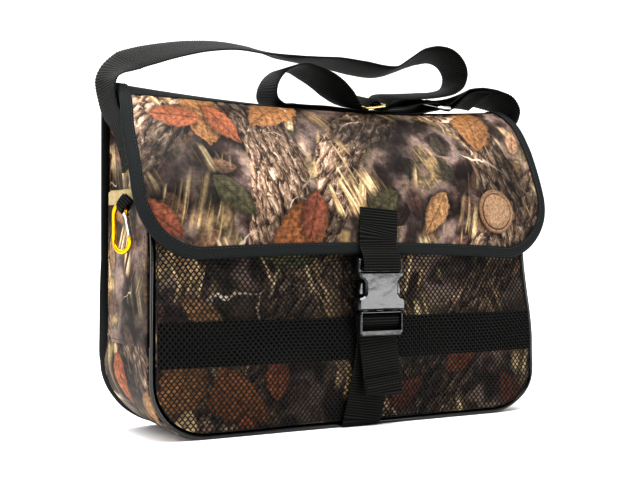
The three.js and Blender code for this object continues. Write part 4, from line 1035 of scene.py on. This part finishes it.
# The slider, the ring and the webbing between them lean forwards on the crest, about a line along it.
LEAN = {"angle": 13.0, "y": STRAP_Y, "z": 300.0}
SEWN_END, BOX_SHARE = (3, 26), 0.84


def across_slider(pairs):
    """Strap rows from pairs of places along and above the sloping slider."""
    slope = math.radians(SLIDER["slope"])
    cos, sin = math.cos(slope), math.sin(slope)
    x, z, angle = SLIDER["x"], SLIDER["z"], LEAN["angle"]
    return [(x + a * cos - b * sin, STRAP_Y, z + a * sin + b * cos, 0, angle) for a, b in pairs]


def round_ring_bar(bar_x, start, end, rows=7):
    """Strap rows round one bar of the ring, from a start to an end angle."""
    turns = np.radians(np.linspace(start, end, rows))
    z, reach, angle = RING["z"], RING["reach"], LEAN["angle"]
    return [(bar_x + reach * math.cos(a), STRAP_Y, z + reach * math.sin(a), 0, angle) for a in turns]


def lean(points, angle):
    """Points turned forwards by an angle in degrees about the leaning line."""
    turn = np.radians(angle)
    x, y, z = points[..., 0], points[..., 1] - LEAN["y"], points[..., 2] - LEAN["z"]
    leaning_y = LEAN["y"] + y * np.cos(turn) - z * np.sin(turn)
    return np.stack([x, leaning_y, LEAN["z"] + y * np.sin(turn) + z * np.cos(turn)], axis=-1)


def strap(name, rows):
    """Webbing along rows of x, y, z, tilt and lean. A row's tilt and lean are left out where they are 0."""
    table = np.array([(*row, 0, 0)[:5] for row in rows], float)
    turn = np.radians(table[:, 4])
    axes = columns_of(np.zeros_like(turn), np.cos(turn), np.sin(turn))
    return webbing(name, lean(table[:, :3], table[:, 4]), axis=axes, tilts=table[:, 3])


shoulder_strap = strap(
    "shoulder_strap_webbing",
    OVER_TOP + across_slider(THROUGH_SLIDER) + ALONG_CREST + round_ring_bar(RING["x"] - RING["bar"], -95, 90)
    + TO_MIDDLE_BAR + across_slider(ROUND_MIDDLE_BAR),
)
settle(shoulder_strap, black_webbing, "webbing", "shoulder_strap")


def on_webbing(piece, run, across, face):
    """Points and normals on one face of a strap, at runs along it and shares of its half width across it."""
    rows = corners_of(piece.data).reshape(-1, len(WEB_EDGE), 3) / MM
    row = np.clip(np.round(np.asarray(run) / (RIB / 4)).astype(int), 0, len(rows) - 2)
    left, right = (rows[:, 6], rows[:, 2]) if face > 0 else (rows[:, 10], rows[:, 14])
    share = ((np.asarray(across) / 0.95 + 1) / 2)[:, None]
    points = left[row] * (1 - share) + right[row] * share
    ahead = rows[row + 1].mean(axis=1) - rows[row].mean(axis=1)
    return points, face * unit(np.cross(ahead, right[row] - left[row]))


def box_and_cross(piece, low, high, face):
    """The stitched box with a cross that holds a strap's end, between two runs along it."""
    runs, shares = np.linspace(low, high, 12), np.linspace(-BOX_SHARE, BOX_SHARE, 12)
    flat = np.ones(12)
    sides = [(runs, BOX_SHARE * flat), (runs, -BOX_SHARE * flat)]
    ends = [(low * flat, shares), (high * flat, shares)]
    rows = sides + ends + [(runs, shares), (runs, -shares)]
    return [on_webbing(piece, run, across, face) for run, across in rows]


strap_stitches = stitches("shoulder_strap_stitches", box_and_cross(shoulder_strap, *SEWN_END, face=1))
settle(strap_stitches, thread, "webbing")

# Short strap: the same webbing, sewn to the right wall and folded back round the ring. Its bow twists, so
# that its underside shows from the front.
SHORT_RISE = [
    (201.7, -11, 228), (201.7, -8, 237), (202.5, -1, 250), (204.5, 8, 262), (210, 14, 275, 0, -2),
    (222, 17, 287, 0, -5), (227, 19, 297, 0, -10), (223, 20, 307, 0, -15), (209, 22, 313.8, 0, -20),
    (188, 22, 315.6, 0, -21), (167, 22, 313.4, 0, -15), (152, 22, 309, 0, -2),
]
SHORT_RETURN = [
    (148, 22, 302.4, 0, 8), (156, 22, 305.4, 0, -6), (167, 22, 308.6, 0, -15), (182, 22, 311.2, 0, -20),
    (196, 22, 310.8, 0, -22),
]
short_strap = strap(
    "short_strap_webbing", SHORT_RISE + round_ring_bar(RING["x"] + RING["bar"], 85, 275) + SHORT_RETURN
)
settle(short_strap, black_webbing, "webbing", "short_strap")
short_stitches = stitches("short_strap_stitches", box_and_cross(short_strap, *SEWN_END, face=-1))
settle(short_stitches, thread, "webbing")


# Slider and ring: a cast three-bar slider with a brass finish, and a bent ring of steel wire. Both start
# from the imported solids, with their edges rounded as tumbling leaves them.
def rounded_solid(name, node, rounding, limit=40):
    """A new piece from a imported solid's own mesh, merged, with its sharp edges rounded."""
    piece = new_piece(name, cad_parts[node].data.copy())
    piece.select_set(True)
    bpy.ops.mesh.customdata_custom_splitnormals_clear()
    bpy.ops.object.mode_set(mode="EDIT")
    bpy.ops.mesh.select_all(action="SELECT")
    bpy.ops.mesh.remove_doubles(threshold=0.01 * MM)
    bpy.ops.mesh.dissolve_limited(angle_limit=math.radians(1))
    bpy.ops.mesh.normals_make_consistent(inside=False)
    bpy.ops.object.mode_set(mode="OBJECT")
    sharp = math.radians(limit)
    work_on(piece, "BEVEL", width=rounding * MM, segments=3, limit_method="ANGLE", angle_limit=sharp)
    bpy.ops.object.shade_smooth_by_angle(angle=sharp)
    work_on(piece, "WEIGHTED_NORMAL", keep_sharp=True, weight=100)
    piece.select_set(False)
    return piece


def lean_piece(piece):
    """Leans a piece forwards with the webbing that runs through it."""
    turned = lean(corners_of(piece.data) / MM, LEAN["angle"]) * MM
    piece.data.vertices.foreach_set("co", turned.ravel())
    piece.data.update()


# Brass finish: pale yellow metal, polished but handled. Steel: bright nickel plate with a faint orange peel.
brass = plain_material("brass_plated_zinc", "#c4ae7e", 0.22, metallic=1.0, grain=(4, 0.02, "#b59d6b"))
steel = plain_material("nickel_plated_steel", "#c9c9c7", 0.2, metallic=1.0, grain=(4, 0.02, "#b4b5b6"))
slider = rounded_solid("strap_slider_casting", "strap_slider", 0.6)
lean_piece(slider)
settle(slider, brass, "brass", "strap_slider")
ring = rounded_solid("strap_ring_wire", "strap_ring", 0.5)
lean_piece(ring)
settle(ring, steel, "steel", "strap_ring")

# Flap strap: webbing sewn down the middle of the flap's front, over its hem and round the socket's bar. Two
# rows of stitches hold it at the hem.
BUCKLE = {"x": 10.0, "back": -59.5, "joint": 103.8}
SOCKET_BAR = [
    (47.6, 10.2), (43.5, 11.2), (39, 12), (36.2, 12), (35.3, 10.9), (36.6, 9.7), (37.6, 7), (37.8, 5),
    (38.6, 3), (41.4, 1.5), (45, 1.4), (46.6, 1.6),
]


def on_buckle(x, pairs):
    """Points at x from pairs of heights over the buckle's joint and depths in front of its back."""
    return [(x, BUCKLE["back"] - depth, BUCKLE["joint"] + height) for height, depth in pairs]


sewn_d, over_hem_d = np.array([38.0, 30.0, 22.0]), np.array([13.0, 5.0])
flap_strap_route = np.vstack(
    [
        flap_at(BUCKLE["x"] + 3 * sewn_d / 38, sewn_d, np.full(3, 2.8)),
        flap_at(np.full(2, BUCKLE["x"]), over_hem_d, np.full(2, 4.6)),
        on_buckle(BUCKLE["x"], SOCKET_BAR),
    ]
)
flap_strap = webbing("flap_strap_webbing", flap_strap_route, axis=(1, 0, 0))
settle(flap_strap, black_webbing, "webbing", "flap_strap")
across = np.linspace(-0.9, 0.9, 12)
flap_strap_stitches = stitches(
    "flap_strap_stitches", [on_webbing(flap_strap, np.full(12, run), across, 1) for run in (36.0, 40.5)]
)
settle(flap_strap_stitches, thread, "webbing")

# Buckle: a side-release buckle in two moulded halves, socket above and plug below. Each starts from its
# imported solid, with the mould's small radii put on its edges. Its plastic is black acetal: a slightly wavy
# moulded face with a broad soft shine.
acetal = plain_material("black_acetal", "#0f1011", 0.15, ior=1.48, grain=(14, 0.35, "#1b1c1d"))
socket = rounded_solid("buckle_socket_moulding", "buckle_socket", 0.7)
settle(socket, acetal, "plastic", "buckle_socket")
plug = rounded_solid("buckle_plug_moulding", "buckle_plug", 0.6)
settle(plug, acetal, "plastic", "buckle_plug")

# Anchor strap: webbing from the base seam up the front, through the plug's bars and down again as a loose
# tail, whose end is folded forwards and stitched.
NET_CLEAR = 5.7
PLUG_BARS = [
    (-24, 1), (-12, 1.2), (-8, 1.2), (-5.4, 1.9), (-4.2, 3.4), (-4, 5), (-4.2, 6.6), (-5.6, 8.1), (-8, 8.7),
    (-11, 8.2), (-13.5, 6.5), (-15.6, 4.7), (-19, 3.9), (-26, 3.9),
]
TAIL = [(-50, 5.2), (-64, 4.6), (-73.6, 4.3), (-75.2, 5.3), (-73.6, 6.3), (-66, 6.7), (-59, 7.1)]
hanging = np.array(on_buckle(BUCKLE["x"], PLUG_BARS + TAIL))
hanging[:, 0] += np.interp(hanging[:, 2], [30, 80], [5, 0])
rising = np.array([6.0, 13.0, 25.0, 40.0, 56.0])
rise = front_at(np.zeros(5), rising) - np.array([0, NET_CLEAR, 0])
rise[:, 0] = 8 * (rising - 6) / 50
anchor_route = np.vstack([[(0, -50.4, 1.2), (0, -51.6, 3.4)], rise, hanging])
anchor_strap = webbing("anchor_strap_webbing", anchor_route, axis=(1, 0, 0))
settle(anchor_strap, black_webbing, "webbing", "anchor_strap")
anchor_length = run_along(smooth_route(anchor_route))[-1]
anchor_stitches = stitches(
    "anchor_strap_stitches", [on_webbing(anchor_strap, np.full(12, anchor_length - 7), across, -1)]
)
settle(anchor_stitches, thread, "webbing")

# Side pocket: a patch of printed canvas on the left wall, sewn down on three sides and gathered along its
# mouth. A khaki tape with elastic in it binds the mouth.
POCKET = {"bottom": 78.0, "top": 207.0, "front": -45.0, "back": 40.0, "cloth": 1.8, "fullness": 3.0}
GATHERS, HEM_PLEAT, HEM_TAPE = 0.9, 1.1, 0.8
POCKET_PRINT = (500, 2023)


def side_pocket_cloth(u, v):
    """x, y and z of the pocket's cloth over u from front to back and v from bottom to mouth."""
    full = POCKET["fullness"] * np.sin(math.pi * u) * np.sin(math.pi * np.minimum(0.12 + v, 1)) ** 0.7
    gathers = GATHERS * v**6 * (1 - np.cos(6 * math.pi * u))
    x = -(BODY_HALF + 0.4 + POCKET["cloth"] / 2 + full + gathers)
    y = POCKET["front"] + (POCKET["back"] - POCKET["front"]) * u
    z = POCKET["bottom"] + (POCKET["top"] - POCKET["bottom"]) * v
    return x, y, z


def side_pocket_sheet(u, v):
    """The pocket's cloth with its face outwards, and its place on the printed roll."""
    x, y, z = side_pocket_cloth(u, 1 - v)
    return columns_of(x, y, z), columns_of(y, z) + POCKET_PRINT


side_pocket = cloth_sheet("side_pocket_cloth", side_pocket_sheet, 64, 80, POCKET["cloth"])
settle(side_pocket, canvas, "camo_cloth", "side_pocket")


def pocket_line(u, v):
    """Points and normals along a line of stitches on the pocket."""
    x, y, z = side_pocket_cloth(u, v)
    return np.stack([x - POCKET["cloth"] / 2, y, z], axis=-1), np.tile([-1.0, 0, 0], (len(u), 1))


rise, edge = np.linspace(0.02, 0.88, 60), np.ones(60)
pocket_stitches = stitches(
    "side_pocket_stitches",
    [
        pocket_line(0.035 * edge, rise), pocket_line(0.965 * edge, rise),
        pocket_line(np.linspace(0.02, 0.98, 60), 0.025 * edge),
    ],
)
# Pocket thread: dull brown, so that the seams sink into the print.
brown_thread = plain_material("brown_thread", "#261e18", 0.55, grain=(0.4, 0.02, "#352b23"))
settle(pocket_stitches, brown_thread, "camo_cloth")


def pocket_hem(u, v):
    """The pocket's mouth: a tape with elastic in it, folded over the edge and drawn into small pleats."""
    fold = np.where(v < 0.5, 1 - 2 * v, 2 * v - 1)
    x, y, z = side_pocket_cloth(0.95 * u, np.clip(0.91 + 0.09 * (1 - fold), 0, 1))
    turn = np.clip((v - 0.44) / 0.12, 0, 1) * math.pi
    wave = 1 + np.cos(2 * math.pi * u * 5 + 2 * np.sin(9 * u))
    pleat = HEM_PLEAT * wave * (0.3 + 0.7 * fold) * (1 - u**8)
    x = x - (1.5 * np.cos(turn) + pleat * np.cos(turn) ** 2 * (v < 0.5))
    z = z + 0.8 * np.sin(turn)
    return columns_of(x, y, z), columns_of(y, z)


hem = cloth_sheet("side_pocket_hem", pocket_hem, 160, 24, HEM_TAPE)
# Hem tape: undyed khaki cotton, matt and softly wrinkled.
khaki = plain_material("khaki_cotton_tape", "#8b7a57", 0.85, grain=(1.2, 0.15, "#a0906b"))
settle(hem, khaki, "camo_cloth")

# Carabiner loop: narrow ribbed tape of the webbing's yarn, sewn to the pocket's front edge and looped round
# the carabiner's bow, which squeezes it narrower.
CLIP = np.array([-211.5, -16.0, 175.2])
CLIP_TURN, LOOP_RISE = math.radians(20), math.radians(56)
CLIP_U = np.array([math.sin(CLIP_TURN), -math.cos(CLIP_TURN), 0.0])
CLIP_V = np.array([0, 0, 1.0])
CLIP_N = np.cross(CLIP_U, CLIP_V)
LOOP_ROUTE = [
    (15.5, -3), (12, -2.6), (8.5, -3.4), (4.5, -3.2), (1.6, 0), (4.5, 3.2), (8.5, 3.4), (12, 1.6),
    (15.5, -0.7),
]
LOOP_WIDTHS = [13, 12, 10, 8.4, 8, 8.4, 10, 12, 13]
radial = CLIP_U * math.cos(LOOP_RISE) + CLIP_V * math.sin(LOOP_RISE)
bow_centre = CLIP - 2 * CLIP_U + 12 * CLIP_V
loop_points = [bow_centre + r * radial + n * CLIP_N for r, n in LOOP_ROUTE]
carabiner_loop = webbing(
    "carabiner_loop_tape", loop_points, axis=np.cross(CLIP_N, radial), width=LOOP_WIDTHS, thickness=1.4
)
settle(carabiner_loop, black_webbing, "webbing", "carabiner_loop")

# Carabiner: a bent bar of aluminium, anodised yellow, with a flat tongue that its bare gate is pinned to. A
# spring in the gate's root closes it against the nose.
BOW = {"top": (-2.0, 12.0, 7.2), "foot": (0.6, -10.0, 9.8), "spine": -9.2, "nose": (10.2, -8.0), "bar": 4.0}
HINGE = {"u": 5.0, "v": 11.0, "tongue": 1.6, "eye": 1.9, "root": 3.4}


def on_clip(u, v, n=0.0):
    """A point in the carabiner's plane: u from its spine to its gate, v up, n out of the plane."""
    return CLIP + u * CLIP_U + v * CLIP_V + n * CLIP_N


def bow_arc(centre, start, end, count):
    """Pairs of u and v along an arc about a centre (u, v, radius), between two angles in degrees."""
    u, v, radius = centre
    turns = np.radians(np.linspace(start, end, count))
    return [(u + radius * math.cos(a), v + radius * math.sin(a)) for a in turns]


def carabiner_bar():
    """The bent round bar, swept along its line in the carabiner's plane."""
    path = [
        *bow_arc(BOW["top"], 14, 172, 7), (BOW["spine"], 4), (BOW["spine"], -4),
        *bow_arc(BOW["foot"], 184, 352, 8), BOW["nose"],
    ]
    line = smooth_route([on_clip(u, v) for u, v in path])[::4]
    bar = bpy.data.curves.new("carabiner_bar", "CURVE")
    bar.dimensions = "3D"
    bar.bevel_depth = BOW["bar"] / 2 * MM
    bar.bevel_resolution = 4
    bar.use_fill_caps = True
    spline = bar.splines.new("POLY")
    spline.points.add(len(line) - 1)
    for point, place in zip(spline.points, line):
        point.co = (*(place * MM), 1)
    piece = new_piece("carabiner_body_bar", bar)
    piece.select_set(True)
    bpy.ops.object.convert(target="MESH")
    piece = bpy.context.object
    piece.select_set(False)
    return piece


def carabiner_tongue():
    """The flat tongue under the bow's end, with the round eye for the gate's pin."""
    turn = Vector((0, 0, 1)).rotation_difference(Vector(CLIP_N)).to_euler()
    eye = on_clip(HINGE["u"], HINGE["v"]) * MM
    bpy.ops.mesh.primitive_cylinder_add(
        vertices=24, radius=HINGE["eye"] * MM, depth=HINGE["tongue"] * MM, location=eye, rotation=turn
    )
    piece = bpy.context.object
    bpy.ops.object.transform_apply(location=True, rotation=True, scale=True)
    places = corners_of(piece.data)
    upper = (places - eye) @ CLIP_V > 0.4 * MM
    places[upper] += HINGE["root"] * MM * CLIP_V
    piece.data.vertices.foreach_set("co", places.ravel())
    work_on(piece, "BEVEL", width=0.25 * MM, segments=2)
    piece.select_set(False)
    return piece


# Anodised aluminium: saturated yellow metal with a satin finish. The gate is the same metal left bare.
anodised = plain_material(
    "yellow_anodised_aluminium", "#dcae1e", 0.28, metallic=1.0, grain=(2, 0.02, "#cf9d12")
)
bare = plain_material("bare_aluminium", "#d3d4d6", 0.28, metallic=1.0, grain=(2, 0.02, "#c3c5c8"))
carabiner_body = carabiner_bar()
tongue = carabiner_tongue()
tongue.select_set(True)
carabiner_body.select_set(True)
bpy.context.view_layer.objects.active = carabiner_body
bpy.ops.object.join()
bpy.ops.object.shade_smooth_by_angle(angle=math.radians(50))
carabiner_body.select_set(False)
settle(carabiner_body, anodised, "anodised", "carabiner_body")
carabiner_gate = rounded_solid("carabiner_gate_rod", "carabiner_gate", 0.25, limit=55)
settle(carabiner_gate, bare, "gate", "carabiner_gate", body="gate")

# Studio: a white floor that runs out of sight, one large window of light from the left, a small low softbox
# at the front right for the buckle's shine, a softbox overhead, a wide skylight and a white room.
bpy.ops.mesh.primitive_circle_add(vertices=96, radius=40, fill_type="NGON")
floor = bpy.context.object
floor.name = "floor"
floor.select_set(False)
white, _, paper = new_material("white_paper")
fill_inputs(paper, {"Base Color": colour("#f4f4f4"), "Roughness": 0.8})
floor.data.materials.append(white)


def softbox(name, place, aim, width, height, power):
    """A rectangular softbox of a width and a height in metres, aimed at a point."""
    bpy.ops.object.light_add(type="AREA", location=place)
    lamp = bpy.context.object
    lamp.name = name
    lamp.data.shape = "RECTANGLE"
    lamp.data.size = width
    lamp.data.size_y = height
    lamp.data.energy = power
    lamp.rotation_euler = (Vector(aim) - Vector(place)).to_track_quat("-Z", "Y").to_euler()
    lamp.select_set(False)


softbox("window", (-1.5, -0.35, 0.35), (-0.1, 0, 0.17), width=0.9, height=1.0, power=8.5)
softbox("front softbox", (0.8, -1.25, 0.05), (0, 0, 0.12), width=0.24, height=0.09, power=0.75)
softbox("overhead softbox", (-0.1, -0.75, 1.5), (0, -0.05, 0.2), width=1.0, height=0.7, power=28)
bpy.ops.object.light_add(type="SUN", rotation=(math.radians(-25), math.radians(-20), 0))
skylight = bpy.context.object
skylight.name = "skylight"
skylight.data.energy = 2.6
skylight.data.angle = math.radians(75)
skylight.select_set(False)

# The room is white behind the bag and at the horizon, and dim on the side of the camera, so that black
# things stay black.
world = bpy.data.worlds.new("studio")
bpy.context.scene.world = world
world.use_nodes = True
room = world.node_tree
look = add_node(room, "TexCoord")
ahead = add_node(
    room, "VectorMath", {0: look.outputs["Generated"], 1: (0.72, 0.62, 0.3)}, operation="DOT_PRODUCT"
)
behind = add_node(
    room, "MapRange",
    {"Value": ahead.outputs["Value"], "From Min": -0.25, "From Max": 0.45, "To Min": 0.1, "To Max": 1.05},
    interpolation_type="SMOOTHSTEP",
)
height = add_node(room, "SeparateXYZ", {0: look.outputs["Generated"]})
horizon = add_node(
    room, "MapRange",
    {"Value": height.outputs["Z"], "From Min": 0.1, "From Max": 0.2, "To Min": 1.05, "To Max": 0.1},
    interpolation_type="SMOOTHSTEP",
)
bright = add_node(room, "Math", {0: behind, 1: horizon}, operation="MAXIMUM")
fill_inputs(room.nodes["Background"], {"Color": colour("#ffffff"), "Strength": bright})
bpy.context.scene.view_settings.view_transform = "Standard"
bpy.context.scene.view_settings.look = "High Contrast"

bpy.ops.object.camera_add(location=(-0.5626, -0.9212, 0.159))
camera = bpy.context.object
turn, lift = math.radians(30.88), math.radians(0.37)
heading = Vector((math.sin(turn), math.cos(turn), math.tan(lift)))
camera.rotation_euler = heading.to_track_quat("-Z", "Y").to_euler()
camera.data.sensor_width = 36
camera.data.lens = 65.4
camera.data.clip_start = 0.01
bpy.context.scene.camera = camera
